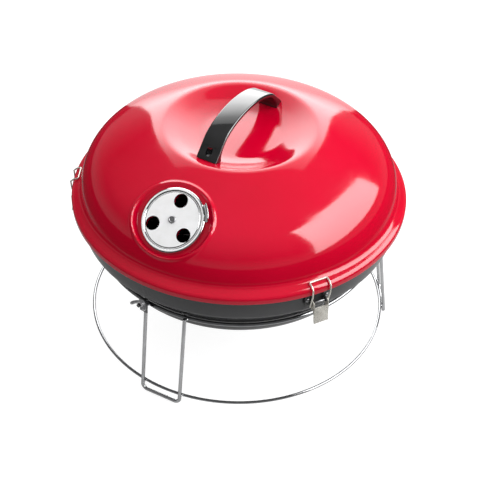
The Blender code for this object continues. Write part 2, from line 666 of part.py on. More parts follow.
def build_lever(name, matrix, material):
    """The lever: a folded plate whose two cheeks turn on the pin, with a flared finger tail."""
    side_view = [(0.0, 0.0024), (-0.0018, 0.0017), (-0.0025, 0.0), (-0.0040, -0.0060), (-0.0030, -0.0086),
                 (0.0004, -0.0100), (0.0034, -0.0130), (0.0036, -0.0200), (0.0050, -0.0246), (0.0058, -0.0242),
                 (0.0046, -0.0196), (0.0045, -0.0036), (0.0032, 0.0), (0.0018, 0.0017)]
    bm = bmesh.new()
    extrude_outline(bm, side_view, radial_plane((0.0, 0.0)), LEVER_OUTER)
    lever = add_object(name, bm, material, matrix, smooth=False)
    bm = bmesh.new()
    add_box(bm, (-0.02, -LEVER_INNER, -0.0194), (0.0035, LEVER_INNER, 0.02))
    add_boolean(lever, add_cutter(name + "_hollow_cutter", bm, matrix))
    bm = bmesh.new()
    add_box(bm, (0.0, -LEVER_INNER, -0.0040), (0.02, LEVER_INNER, 0.03))
    add_boolean(lever, add_cutter(name + "_top_cutter", bm, matrix))
    bm = bmesh.new()
    offset = Vector((BAIL_PIVOT[0] - LATCH_PIN[0], 0.0, BAIL_PIVOT[1] - LATCH_PIN[1]))
    side = Vector((0.0, 0.02, 0.0))
    add_cylinder(bm, -side, side, PIN_RADIUS + GAP, 12)
    add_cylinder(bm, offset - side, offset + side, BAIL_WIRE + GAP, 12)
    add_boolean(lever, add_cutter(name + "_hole_cutter", bm, matrix))


def build_bail(name, matrix, material):
    """The wire loop: its ends turn in the lever's cheeks and its bar hooks over the lid's flange."""
    side = [(0.0, 0.0), (0.0037, 0.0165), (0.0040, 0.0252), (0.0002, 0.0285), (-0.0045, 0.0297)]
    width = BAIL_HALF_WIDTH
    right = [Vector((x, width, z)) for x, z in side]
    left = [Vector((x, -width, z)) for x, z in reversed(side)]
    ends = (Vector((0.0, EAR_OUTER + 0.0003, 0.0)), Vector((0.0, -EAR_OUTER - 0.0003, 0.0)))
    corners = [ends[0]] + right + left + [ends[1]]
    path = round_corners(corners, 0.0011, 2)
    bm = bmesh.new()
    sweep_bail(bm, path)
    add_object(name, bm, material, matrix)


def sweep_bail(bm, path):
    """Sweep the bail's wire with a frame that is carried along the path, since it bends in all directions."""
    sides = 6
    carried = Vector((1.0, 0.0, 0.0))
    rings = []
    last = len(path) - 1
    for index, point in enumerate(path):
        along = (path[min(index + 1, last)] - path[max(index - 1, 0)]).normalized()
        carried = (carried - along * carried.dot(along)).normalized()
        second = along.cross(carried)
        ring = []
        for step in range(sides):
            angle = 2.0 * math.pi * step / sides
            outward = carried * math.cos(angle) + second * math.sin(angle)
            ring.append(bm.verts.new(point + outward * BAIL_WIRE))
        rings.append(ring)
    bm.faces.new(rings[0])
    bm.faces.new(rings[-1])
    for here, there in zip(rings[:-1], rings[1:]):
        for step in range(sides):
            after = (step + 1) % sides
            bm.faces.new([here[step], here[after], there[after], there[step]])


# ---------------------------------------------------------------- assembly
def main():
    """Build every piece of the grill."""
    clear_scene()
    red = make_material("red_enamel", RED, 0.18, 0.0)
    black = make_material("black_enamel", BLACK, 0.22, 0.0)
    gloss = make_material("black_plastic", BLACK, 0.25, 0.0)
    chrome = make_material("chrome", CHROME, 0.12, 1.0)
    nickel = make_material("nickel_plate", NICKEL, 0.28, 1.0)
    steel = make_material("zinc_steel", STEEL, 0.40, 1.0)

    build_lid(red)
    build_damper(chrome, steel)
    build_handle(gloss, steel)
    build_bowl(black)
    build_bowl_damper(steel)
    build_grate("cooking_grate", chrome, COOKING_GRATE_RADIUS, COOKING_GRATE_HEIGHT, 0.0025, 0.0015, 0.016,
                (-0.06, 0.06))
    build_grate("charcoal_grate", steel, CHARCOAL_GRATE_RADIUS, CHARCOAL_GRATE_HEIGHT, 0.0025, 0.0018, 0.019,
                (0.0,))
    build_rings(chrome)
    for name, azimuth in LEG_AZIMUTHS.items():
        build_leg(name, azimuth, chrome, gloss)
    for name, azimuth in LATCH_AZIMUTHS.items():
        build_latch(name, azimuth, black, nickel, steel)


main()
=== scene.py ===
import json
from math import asin, atan2, cos, degrees, pi, radians, sin, sqrt, tan

import bmesh
import bpy
import numpy as np
from mathutils import Matrix, Vector


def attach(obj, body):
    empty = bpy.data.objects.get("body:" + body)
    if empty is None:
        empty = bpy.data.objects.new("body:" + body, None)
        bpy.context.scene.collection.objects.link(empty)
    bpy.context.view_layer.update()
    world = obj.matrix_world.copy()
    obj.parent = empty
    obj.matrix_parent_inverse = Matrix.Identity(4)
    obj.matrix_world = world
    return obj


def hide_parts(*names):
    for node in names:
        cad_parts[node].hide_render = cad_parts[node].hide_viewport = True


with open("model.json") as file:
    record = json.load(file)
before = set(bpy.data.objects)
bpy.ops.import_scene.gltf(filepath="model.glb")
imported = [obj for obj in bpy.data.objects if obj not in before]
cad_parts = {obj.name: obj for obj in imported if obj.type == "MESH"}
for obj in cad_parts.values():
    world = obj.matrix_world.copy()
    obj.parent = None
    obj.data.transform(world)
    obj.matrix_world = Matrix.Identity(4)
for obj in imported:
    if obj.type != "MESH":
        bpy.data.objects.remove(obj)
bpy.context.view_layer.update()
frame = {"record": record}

# ---------------------------------------------------------------- dimensions, in metres
SHEET = 0.0012                  # thickness of the lid and the bowl
GAP = 0.0003                    # clearance between pieces that touch

# Lid outline from the recess floor over the crest and down the dome to the skirt: (radius, height).
LID_OUTLINE = [
    (0.0, 0.2443), (0.0410, 0.2443), (0.0450, 0.2447), (0.0540, 0.2468), (0.0630, 0.2496),
    (0.0710, 0.2529), (0.0770, 0.2554), (0.0805, 0.2566), (0.0828, 0.2569), (0.0860, 0.2562),
    (0.0950, 0.2532), (0.1100, 0.2470), (0.1290, 0.2382), (0.1417, 0.2316), (0.1526, 0.2246),
    (0.1612, 0.2165), (0.1674, 0.2071), (0.1710, 0.1975), (0.1728, 0.1888), (0.1735, 0.1838),
    (0.1750, 0.1814), (0.1770, 0.1801), (0.1792, 0.1791), (0.1815, 0.1780), (0.1832, 0.1767),
    (0.1840, 0.1752), (0.1840, 0.1695),
]
BOWL_OUTLINE = [
    (0.1772, 0.1723), (0.1768, 0.1690), (0.1745, 0.1440), (0.1735, 0.1405), (0.1690, 0.1380),
    (0.1662, 0.1350), (0.1600, 0.1250), (0.1542, 0.1145), (0.1506, 0.1050), (0.1465, 0.0970),
    (0.1400, 0.0905), (0.1290, 0.0845), (0.1100, 0.0785), (0.0800, 0.0735), (0.0500, 0.0710),
    (0.0, 0.0710),
]
BOWL_RIM = (0.1790, 0.1749)
BOWL_RIM_ROLL = 0.0021
BOWL_BOTTOM = 0.0710

VENT_AZIMUTH = radians(242.5)
VENT_ELEVATION = radians(52.0)
VENT_RADIUS = 0.1384
VENT_HEIGHT = 0.2241
VENT_PAD = (0.0435, 0.0395)     # half width and half height of the pressed pad, to the crest of its bead
VENT_BEAD_HEIGHT = 0.0019
DAMPER_RADIUS = 0.0340
DAMPER_HEIGHT = 0.0050
AIR_HOLE_RADIUS = 0.0074
AIR_HOLE_CIRCLE = 0.0207
AIR_HOLE_START = radians(88.0)
DAMPER_TAB_ANGLE = 31.0
RIVET_BORE = 0.0023
AIR_HOLE_MARGIN = 0.0010        # the lid's holes are wider than the disc's, so that no crescent shows

HANDLE_AZIMUTH = radians(60.0)
HANDLE_WIDTH = 0.0240
HANDLE_SCREW_OFFSET = 0.0625
HANDLE_SCREW_SEAT = 0.2540
SCREW_BORE = 0.0018
HANDLE_NUT_BASE = 0.2434

BOWL_AIR_CIRCLE = 0.0230
BOWL_DAMPER_RADIUS = 0.0360
BOWL_DAMPER_SHEET = 0.0010
BOWL_DAMPER_TAB_ANGLE = 60.0
# Grates: radius, height, ring wire, bar wire, spacing, places of the cross bars.
COOKING_GRATE = (0.1682, 0.1422, 0.0025, 0.0015, 0.016, (-0.06, 0.06))
CHARCOAL_GRATE = (0.1270, 0.0902, 0.0025, 0.0018, 0.019, (0.0,))

LEG_AZIMUTHS = {"leg_right": 2.2, "leg_rear": 122.2, "leg_front": 242.2}
LEG_WIRE = 0.0020
LEG_HALF_WIDTH = 0.0235
LEG_FOOT = (0.1752, 0.0020)
LEG_TOP = (0.1596, 0.1165)
UPPER_RING = (0.1570, 0.1147, 0.0020)
BASE_RING = (0.1712, 0.0100, 0.0016)
CLAMP_BOLT_HEIGHT = 0.1225
CLAMP_BOLT_DISTANCE = 0.1643
CLAMP_PLATE_DISTANCE = 0.1651
CLAMP_BORE = 0.0023

LATCH_AZIMUTHS = {"latch_front": 297.0, "latch_rear": 57.0, "latch_left": 177.0}
LATCH_PIN = (0.1835, 0.1575)
BAIL_PIVOT = (0.1820, 0.1515)
LATCH_PLATE_INNER = 0.1771
LATCH_PLATE = 0.0010
BAIL_WIRE = 0.0009
BAIL_HALF_WIDTH = 0.0100
LATCH_HALF_WIDTH = 0.0140
LATCH_PLATE_LOW = 0.1490
LATCH_PLATE_HIGH = 0.1670
EAR_OFFSET = 0.0065
EAR_HALF = 0.0005
LEVER_INNER = 0.0076
LEVER_OUTER = 0.0084
PIN_BORE = 0.00125
BAIL_BORE = 0.0012
LATCH_RIVET = (0.0110, 0.158)   # side offset and height of a latch's rivets

# Back soft box: its cross-section as (distance, height, half width), and its (height, radiance) stops.
BACK_PROFILE = [(0.42, 0.006, 0.19), (0.90, 0.006, 0.37), (1.70, 0.05, 0.68), (1.77, 0.23, 0.70),
                (0.885, 1.115, 0.70), (0.513, 1.487, 0.70)]
BACK_STOPS = [(0.0, 0.9), (0.05, 1.2), (0.35, 3.8), (0.95, 4.2), (1.12, 3.2), (1.30, 1.5), (1.487, 0.9)]
# Right panel: four corners on a plane seen from the lid, with (height, radiance) stops.
PANEL_STOPS = [(0.0, 4.6), (0.65, 4.6), (2.4, 7.4), (3.0, 7.4)]
PANEL_DISTANCE = 2.5
PANEL_AXES = ((0.8374, 0.0267, 0.5459), (-0.0319, 0.9995, 0.0), (-0.5456, -0.0174, 0.8378))
PANEL_CORNERS = ((-0.31, 0.63), (-0.96, -0.45), (0.50, -0.33), (0.55, 0.09))
# Surround: its light on matt surfaces, and what glossy ones mirror, from just below the horizon up.
WORLD_DIFFUSE = (0.90, 0.90, 0.90)
WORLD_GLOSSY = [(0.0, (0.25, 0.25, 0.25)), (0.25, (0.25, 0.25, 0.25)), (0.5, (0.07, 0.07, 0.07)),
                (1.0, (0.28, 0.28, 0.28))]
LIGHT_TARGET = (0.0, 0.0, 0.23)
# Floor: what the camera sees of it, and between which distances its mirrored grey fades.
FLOOR_COLOR = (0.30, 0.30, 0.30, 1.0)
FLOOR_GLOW = 0.80
FLOOR_FADE = (0.24, 0.50)
WHITE = (1.0, 1.0, 1.0, 1.0)
RADIANCE_SCALE = 8.0            # radiance that a white ramp stands for

CAMERA_TARGET = (0.00208, 0.0, 0.09578)
CAMERA_DISTANCE = 1.25
CAMERA_ELEVATION = radians(40.583)
CAMERA_ROLL = radians(1.14)
CAMERA_LENS = 81.22
CAMERA_SENSOR = 36.0


# ---------------------------------------------------------------- node helpers
def new_material(name):
    """An empty node material with its Principled shader."""
    material = bpy.data.materials.new(name)
    material.use_nodes = True
    tree = material.node_tree
    return material, tree, tree.nodes["Principled BSDF"]


def feed(tree, node, inputs):
    """Fill a node's inputs by name: a socket is linked, and any other value is set."""
    for key, value in inputs.items():
        if isinstance(value, bpy.types.NodeSocket):
            tree.links.new(value, node.inputs[key])
        else:
            node.inputs[key].default_value = value


def add_node(tree, kind, inputs):
    """Shader node of a kind, with its inputs linked or set."""
    node = tree.nodes.new("ShaderNode" + kind)
    feed(tree, node, inputs)
    return node


def object_coordinates(tree, scale=(1.0, 1.0, 1.0), turn=(0.0, 0.0, 0.0)):
    """Object coordinates in metres, stretched and turned."""
    place = add_node(tree, "TexCoord", {}).outputs["Object"]
    return add_node(tree, "Mapping", {"Scale": scale, "Rotation": turn, "Vector": place}).outputs["Vector"]


def noise(tree, vector, scale, detail, roughness=0.55, distortion=0.0):
    """Noise texture value."""
    return add_node(tree, "TexNoise", {"Scale": scale, "Detail": detail, "Roughness": roughness,
                                       "Distortion": distortion, "Vector": vector}).outputs["Fac"]


def remap(tree, value, low, high, from_low=0.0, from_high=1.0):
    """Linear map of a value, clamped."""
    return add_node(tree, "MapRange", {"From Min": from_low, "From Max": from_high, "To Min": low,
                                       "To Max": high, "Value": value}).outputs["Result"]


def ramp(tree, value, stops):
    """Colour ramp over (position, colour) stops."""
    node = add_node(tree, "ValToRGB", {"Fac": value})
    elements = node.color_ramp.elements
    while len(elements) < len(stops):
        elements.new(0.5)
    for element, (position, color) in zip(elements, stops):
        element.position = position
        element.color = (*color, 1.0)
    return node.outputs["Color"]


def bump_chain(tree, layers):
    """Bump of several (height value, strength, distance) layers."""
    normal = None
    for value, strength, distance in layers:
        inputs = {"Strength": strength, "Distance": distance, "Height": value}
        if normal is not None:
            inputs["Normal"] = normal
        normal = add_node(tree, "Bump", inputs).outputs["Normal"]
    return normal


def mix_colors(tree, factor, first, second):
    """Colour that goes from the first to the second with the factor."""
    node = add_node(tree, "Mix", {})
    node.data_type = "RGBA"
    feed(tree, node, {"Factor": factor, "A": first, "B": second})
    return node.outputs["Result"]


def enamel(name, stops, rough, specular, coat, peel):
    """Fired porcelain enamel: deep gloss, faint orange peel, pin specks and slow colour drift."""
    material, tree, shader = new_material(name)
    vector = object_coordinates(tree)
    speck = noise(tree, vector, 900.0, 2.0)
    fine = noise(tree, vector, 260.0, 2.0)
    wave = noise(tree, vector, 30.0, 1.0)
    smear = noise(tree, vector, 45.0, 5.0, 0.6, 0.4)
    layers = [(wave, peel * 0.6, 0.0008), (fine, peel, 0.00012), (speck, peel * 0.5, 0.00003)]
    feed(tree, shader, {
        "Base Color": ramp(tree, noise(tree, vector, 9.0, 4.0), stops),
        "Roughness": remap(tree, smear, *rough, 0.3, 0.7),
        "Specular IOR Level": specular, "Coat Weight": coat, "Coat Roughness": 0.03,
        "Normal": bump_chain(tree, layers)})
    return material


def moulded(name, stops, rough, peel):
    """Glossy moulded or lacquered black."""
    material, tree, shader = new_material(name)
    vector = object_coordinates(tree)
    cloud = noise(tree, vector, 220.0, 5.0, 0.65)
    fine = noise(tree, vector, 1400.0, 2.0)
    wave = noise(tree, vector, 70.0, 1.0)
    feed(tree, shader, {
        "Base Color": ramp(tree, noise(tree, vector, 60.0, 4.0), stops),
        "Roughness": remap(tree, cloud, *rough, 0.3, 0.7),
        "Specular IOR Level": 0.9, "Coat Weight": 0.8, "Coat Roughness": 0.03,
        "Normal": bump_chain(tree, [(wave, peel, 0.0003), (fine, peel, 0.00004)])})
    return material


def plated(name, stops, rough, grain, scratch, wave_strength, metallic=1.0):
    """Plated metal: tone drift, cloudy roughness, hairline grain and a slow ripple."""
    material, tree, shader = new_material(name)
    vector = object_coordinates(tree)
    hair = noise(tree, object_coordinates(tree, grain, (0.0, 0.0, 0.4)), 1.0, 3.0, 0.7)
    wave = noise(tree, vector, 90.0, 1.0)
    both = add_node(tree, "Math", {0: noise(tree, vector, 130.0, 5.0, 0.65), 1: hair})
    both.operation = "ADD"
    feed(tree, shader, {
        "Metallic": metallic,
        "Base Color": ramp(tree, noise(tree, vector, 70.0, 5.0, 0.6), stops),
        "Roughness": remap(tree, both.outputs["Value"], *rough, 0.7, 1.3),
        "Normal": bump_chain(tree, [(wave, wave_strength, 0.0003), (hair, scratch, 0.00004)])})
    return material


MATERIALS = {
    "red_enamel": enamel("red_enamel_look",
                         [(0.30, (0.450, 0.0, 0.0150)), (0.70, (0.500, 0.0, 0.0200))],
                         (0.07, 0.13), 0.7, 0.0, 0.05),
    "black_enamel": enamel("black_enamel_look",
                           [(0.30, (0.030, 0.030, 0.031)), (0.70, (0.044, 0.044, 0.046))],
                           (0.14, 0.24), 0.5, 0.15, 0.06),
    "black_plastic": moulded("black_gloss_look",
                             [(0.30, (0.004, 0.004, 0.0045)), (0.70, (0.008, 0.008, 0.0085))],
                             (0.05, 0.12), 0.06),
    "chrome": plated("chrome_look", [(0.30, (0.60, 0.605, 0.615)), (0.70, (0.70, 0.705, 0.715))],
                     (0.05, 0.13), (240.0, 240.0, 2200.0), 0.05, 0.04),
    "nickel_plate": plated("nickel_look", [(0.30, (0.66, 0.63, 0.56)), (0.70, (0.78, 0.76, 0.70))],
                           (0.20, 0.34), (900.0, 900.0, 2600.0), 0.16, 0.05, 0.6),
    "zinc_steel": plated("zinc_look", [(0.30, (0.40, 0.40, 0.41)), (0.70, (0.58, 0.58, 0.60))],
                         (0.26, 0.46), (500.0, 500.0, 1800.0), 0.14, 0.06),
}
SATIN = plated("satin_chrome_look", [(0.30, (0.86, 0.86, 0.86)), (0.70, (0.94, 0.94, 0.95))],
               (0.38, 0.50), (300.0, 300.0, 900.0), 0.05, 0.03, 0.2)
CAST = plated("cast_chrome_look", [(0.30, (0.62, 0.62, 0.63)), (0.70, (0.78, 0.78, 0.79))],
              (0.16, 0.30), (300.0, 300.0, 900.0), 0.08, 0.06, 0.6)
# Painted shade: the chrome darkened for the stand's rings, standing in for the dark surround they mirror.
SHADED_RING_CHROME = plated("ring_chrome_painted_shade_look", [(0.30, (0.36, 0.365, 0.375)), (0.70, (0.46, 0.465, 0.475))],
              (0.05, 0.13), (240.0, 240.0, 2200.0), 0.05, 0.04)
SLOT_OF = {part["node"]: part["material_slot"] for part in frame["record"]["subparts"]}
BODY_OF = {node: body for body, nodes in frame["record"]["behaviour"]["bodies"].items() for node in nodes}


# ---------------------------------------------------------------- mesh helpers
def from_bmesh(name, bm, sharp=40.0):
    """Object from a bmesh, smooth shaded with sharp creases."""
    bmesh.ops.recalc_face_normals(bm, faces=bm.faces)
    mesh = bpy.data.meshes.new(name)
    bm.to_mesh(mesh)
    bm.free()
    mesh.shade_smooth()
    mesh.set_sharp_from_angle(angle=radians(sharp))
    obj = bpy.data.objects.new(name, mesh)
    bpy.context.scene.collection.objects.link(obj)
    return obj


def skin(name, rings, closed=False, wrap=True, caps=True, sharp=40.0):
    """Object through rings of points. wrap closes each ring, and closed joins the last to the first."""
    bm = bmesh.new()
    made = [[bm.verts.new(point) for point in ring] for ring in rings]
    count = len(made[0])
    pairs = list(zip(made[:-1], made[1:]))
    if closed:
        pairs.append((made[-1], made[0]))
    for here, there in pairs:
        for k in range(count if wrap else count - 1):
            after = (k + 1) % count
            bm.faces.new([here[k], here[after], there[after], there[k]])
    if caps:
        bm.faces.new(made[0])
        bm.faces.new(made[-1])
    return from_bmesh(name, bm, sharp)


def apply_modifiers(obj):
    """Keep what the modifiers make as the object's own mesh."""
    graph = bpy.context.evaluated_depsgraph_get()
    graph.update()
    baked = bpy.data.meshes.new_from_object(obj.evaluated_get(graph))
    obj.modifiers.clear()
    old = obj.data
    obj.data = baked
    bpy.data.meshes.remove(old)


def cut(obj, cutter, operation="DIFFERENCE", sharp=40.0):
    """Exact Boolean, applied, and the cutter removed."""
    modifier = obj.modifiers.new("cut", "BOOLEAN")
    modifier.operation = operation
    modifier.solver = "EXACT"
    modifier.object = cutter
    apply_modifiers(obj)
    bpy.data.objects.remove(cutter, do_unlink=True)
    obj.data.shade_smooth()
    obj.data.set_sharp_from_angle(angle=radians(sharp))


def bevel(obj, width, segments=2, angle=30.0):
    """Rounded edges, applied."""
    modifier = obj.modifiers.new("bevel", "BEVEL")
    modifier.width = width
    modifier.segments = segments
    modifier.limit_method = "ANGLE"
    modifier.angle_limit = radians(angle)
    modifier.harden_normals = False
    apply_modifiers(obj)
    obj.data.shade_smooth()
    obj.data.set_sharp_from_angle(angle=radians(50.0))


def join(obj, others):
    """Merge other objects' meshes into the first, as they stand."""
    bm = bmesh.new()
    for piece in [obj] + others:
        copy = piece.data.copy()
        copy.transform(piece.matrix_world)
        bm.from_mesh(copy)
        bpy.data.meshes.remove(copy)
    bm.to_mesh(obj.data)
    bm.free()
    obj.matrix_world = Matrix.Identity(4)
    for piece in others:
        bpy.data.objects.remove(piece, do_unlink=True)
    return obj


def finish_piece(obj, node, material=None):
    """Give a piece its slot's material, put it on its node's body and let it stand for its CAD node."""
    slot = SLOT_OF[node]
    obj.data.materials.clear()
    obj.data.materials.append(material or MATERIALS[slot])
    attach(obj, BODY_OF[node])
    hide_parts(node)


def centripetal(points, steps):
    """Smooth curve through points, with steps samples for each span."""
    pts = np.array([2 * np.array(points[0]) - np.array(points[1])] + [np.array(p) for p in points]
                   + [2 * np.array(points[-1]) - np.array(points[-2])], float)
    curve = []
    for i in range(1, len(pts) - 2):
        p0, p1, p2, p3 = pts[i - 1:i + 3]
        t0 = 0.0
        t1 = t0 + sqrt(np.linalg.norm(p1 - p0))
        t2 = t1 + sqrt(np.linalg.norm(p2 - p1))
        t3 = t2 + sqrt(np.linalg.norm(p3 - p2))
        for t in np.linspace(t1, t2, steps, endpoint=False):
            a1 = (t1 - t) / (t1 - t0) * p0 + (t - t0) / (t1 - t0) * p1
            a2 = (t2 - t) / (t2 - t1) * p1 + (t - t1) / (t2 - t1) * p2
            a3 = (t3 - t) / (t3 - t2) * p2 + (t - t2) / (t3 - t2) * p3
            b1 = (t2 - t) / (t2 - t0) * a1 + (t - t0) / (t2 - t0) * a2
            b2 = (t3 - t) / (t3 - t1) * a2 + (t - t1) / (t3 - t1) * a3
            curve.append((t2 - t) / (t2 - t1) * b1 + (t - t1) / (t2 - t1) * b2)
    curve.append(np.array(points[-1], float))
    return np.array(curve)


def resample(curve, spacing):
    """Points along a polyline about spacing apart. spacing is a function of the point."""
    lengths = np.linalg.norm(np.diff(curve, axis=0), axis=1)
    along = np.concatenate([[0.0], np.cumsum(lengths)])
    total = along[-1]
    stops = [0.0]
    while stops[-1] < total:
        here = np.array([np.interp(stops[-1], along, curve[:, k]) for k in range(curve.shape[1])])
        stops.append(stops[-1] + spacing(here))
    stops = np.array(stops) * total / stops[-1]
    return np.stack([np.interp(stops, along, curve[:, k]) for k in range(curve.shape[1])], axis=1)


def inward_offset(curve, distance):
    """Offset of a (radius, height) curve towards the inside."""
    along = np.gradient(curve, axis=0)
    along /= np.linalg.norm(along, axis=1)[:, None]
    inner = curve + np.stack([along[:, 1], -along[:, 0]], axis=1) * distance
    inner[curve[:, 0] < 1e-9, 0] = 0.0
    return inner


def lathe_grid(profile, angles):
    """Vertices of a turned profile: rows of the profile by columns of azimuth."""
    cosine = np.cos(angles)[None, :]
    sine = np.sin(angles)[None, :]
    radius = profile[:, 0][:, None]
    height = np.repeat(profile[:, 1][:, None], len(angles), axis=1)
    return np.stack([radius * cosine, radius * sine, height], axis=2)


def grid_object(name, grid, sharp=40.0):
    """Object from a grid whose rows close round. A row on the axis becomes one point."""
    rows, columns = grid.shape[:2]
    vertices = []
    index = np.zeros((rows, columns), int)
    for row in range(rows):
        if np.abs(grid[row, :, :2]).max() < 1e-8:
            index[row, :] = len(vertices)
            vertices.append(grid[row, 0])
        else:
            index[row, :] = np.arange(columns) + len(vertices)
            vertices.extend(grid[row])
    faces = []
    for row in range(rows - 1):
        below = row + 1
        for column in range(columns):
            after = (column + 1) % columns
            face = [index[row, column], index[row, after], index[below, after], index[below, column]]
            unique = list(dict.fromkeys(int(v) for v in face))
            if len(unique) > 2:
                faces.append(unique)
    bm = bmesh.new()
    made = [bm.verts.new(v) for v in vertices]
    for face in faces:
        bm.faces.new([made[v] for v in face])
    return from_bmesh(name, bm, sharp)


def lathe(name, profile, segments, matrix=None, sharp=40.0):
    """Turned piece about the Z axis of a frame."""
    angles = np.linspace(0.0, 2.0 * pi, segments, endpoint=False)
    obj = grid_object(name, lathe_grid(np.array(profile, float), angles), sharp)
    if matrix is not None:
        obj.data.transform(matrix)
    return obj


def rounded_profile(points, radius, steps=4):
    """Round the inner corners of a (radius, height) profile."""
    result = [tuple(points[0])]
    for before, corner, after in zip(points[:-2], points[1:-1], points[2:]):
        corner = np.array(corner, float)
        to_before = np.array(before, float) - corner
        to_after = np.array(after, float) - corner
        reach = min(radius, 0.45 * np.linalg.norm(to_before), 0.45 * np.linalg.norm(to_after))
        start = corner + to_before / np.linalg.norm(to_before) * reach
        end = corner + to_after / np.linalg.norm(to_after) * reach
        for t in np.linspace(0.0, 1.0, steps + 1):
            result.append(tuple((1 - t) ** 2 * start + 2 * t * (1 - t) * corner + t * t * end))
    result.append(tuple(points[-1]))
    return result


def tube(name, path, radius, sides=14, closed=False, sharp=60.0):
    """Round wire along a path, with rounded ends when open."""
    path = np.array(path, float)
    if closed:
        along = np.roll(path, -1, axis=0) - np.roll(path, 1, axis=0)
    else:
        along = np.gradient(path, axis=0)
    along /= np.linalg.norm(along, axis=1)[:, None]
    carried = np.cross(along[0], (0.0, 0.0, 1.0))
    if np.linalg.norm(carried) < 0.1:
        carried = np.cross(along[0], (1.0, 0.0, 0.0))
    frames = []
    for tangent in along:
        carried = carried - tangent * carried.dot(tangent)
        carried /= np.linalg.norm(carried)
        frames.append((carried.copy(), np.cross(tangent, carried)))
    turns = np.linspace(0.0, 2.0 * pi, sides, endpoint=False)

    def ring(point, pair, size):
        return [point + (pair[0] * cos(t) + pair[1] * sin(t)) * size for t in turns]

    def end_rings(k, way):
        return [ring(path[k] + way * along[k] * radius * (back - 0.5) * 0.6, frames[k], radius * shrink)
                for back, shrink in ((0.5, 0.86), (0.85, 0.5))]

    rings = [ring(point, pair, radius) for point, pair in zip(path, frames)]
    if not closed:
        rings = end_rings(0, -1.0)[::-1] + rings + end_rings(-1, 1.0)
    return skin(name, rings, closed, caps=not closed, sharp=sharp)


def rounded_path(points, radius, steps):
    """Open path with its inner corners turned into arcs."""
    path = [Vector(points[0])]
    for before, corner, after in zip(points[:-2], points[1:-1], points[2:]):
        corner = Vector(corner)
        to_before = (Vector(before) - corner).normalized()
        to_after = (Vector(after) - corner).normalized()
        half_angle = to_before.angle(to_after) / 2.0
        centre = corner + (to_before + to_after).normalized() * radius / sin(half_angle)
        first = corner + to_before * radius / tan(half_angle) - centre
        last = corner + to_after * radius / tan(half_angle) - centre
        for step in range(steps + 1):
            path.append(centre + first.slerp(last, step / steps).normalized() * radius)
    path.append(Vector(points[-1]))
    return [tuple(p) for p in path]


def circle(radius, height, count):
    """Points of a level circle about the Z axis."""
    turns = np.linspace(0.0, 2.0 * pi, count, endpoint=False)
    return np.stack([radius * np.cos(turns), radius * np.sin(turns), np.full(count, height)], axis=1)


def extruded(name, outline, half, matrix, edge, segments=2):
    """Flat outline in a frame's X-Y plane, extruded to both sides along its Z, with rounded edges."""
    bm = bmesh.new()
    lower = [bm.verts.new((x, y, -half)) for x, y in outline]
    upper = [bm.verts.new((x, y, half)) for x, y in outline]
    bm.faces.new(lower)
    bm.faces.new(upper)
    for k in range(len(outline)):
        after = (k + 1) % len(outline)
        bm.faces.new([lower[k], lower[after], upper[after], upper[k]])
    obj = from_bmesh(name, bm)
    if edge > 0.0:
        bevel(obj, edge, segments, 40.0)
    obj.data.transform(matrix)
    return obj


def cylinder(name, start, end, radius, segments=32):
    """Plain cutter between two points."""
    start = Vector(start)
    axis = Vector(end) - start
    turn = axis.to_track_quat("Z", "Y").to_matrix().to_4x4()
    bm = bmesh.new()
    bmesh.ops.create_cone(bm, cap_ends=True, segments=segments, radius1=radius, radius2=radius,
                          depth=axis.length, matrix=Matrix.Translation(start + axis / 2.0) @ turn)
    return from_bmesh(name, bm)


def box(name, low, high):
    """Plain cutter between two corners."""
    low = Vector(low)
    high = Vector(high)
    bm = bmesh.new()
    bmesh.ops.create_cube(bm, size=1.0, matrix=Matrix.Translation((low + high) / 2.0)
                          @ Matrix.Diagonal((*(high - low), 1.0)))
    return from_bmesh(name, bm)


def shift(x, y, z):
    """Translation matrix."""
    return Matrix.Translation((x, y, z))


def around(azimuth):
    """Turn about the Z axis, in degrees."""
    return Matrix.Rotation(radians(azimuth), 4, "Z")


def axis_frame(point, direction):
    """Frame at a point whose Z runs along a direction."""
    turn = Vector(direction).to_track_quat("Z", "Y").to_matrix().to_4x4()
    return Matrix.Translation(Vector(point)) @ turn


# ---------------------------------------------------------------- frames
def vent_frame():
    """Middle of the vent pad: Z along its normal, X level, Y up the dome."""
    level = Vector((-sin(VENT_AZIMUTH), cos(VENT_AZIMUTH), 0.0))
    outward = Vector((cos(VENT_AZIMUTH), sin(VENT_AZIMUTH), 0.0))
    normal = outward * cos(VENT_ELEVATION) + Vector((0.0, 0.0, sin(VENT_ELEVATION)))
    turn = Matrix((level, normal.cross(level), normal)).transposed().to_4x4()
    return Matrix.Translation(outward * VENT_RADIUS + Vector((0.0, 0.0, VENT_HEIGHT))) @ turn


VENT = vent_frame()
HANDLE = Matrix.Rotation(HANDLE_AZIMUTH, 4, "Z")
# A side view's X and Y as the frame's X and Z, and a front view's as its Y and Z.
SIDEWAYS = Matrix(((1, 0, 0, 0), (0, 0, 1, 0), (0, 1, 0, 0), (0, 0, 0, 1)))
UPRIGHT = Matrix(((0, 0, 1, 0), (1, 0, 0, 0), (0, 1, 0, 0), (0, 0, 0, 1)))


def leg_wire_turn():
    """Angle from a leg's middle to each of its wires, in degrees."""
    return degrees(asin(LEG_HALF_WIDTH / LEG_TOP[0]))


def clamp_bolt_frame(azimuth):
    """Clamp bolt above a leg's left wire: Z points out, level."""
    turned = around(azimuth - leg_wire_turn())
    place = turned @ Vector((CLAMP_BOLT_DISTANCE, 0.0, CLAMP_BOLT_HEIGHT))
    return axis_frame(place, turned @ Vector((1.0, 0.0, 0.0)))


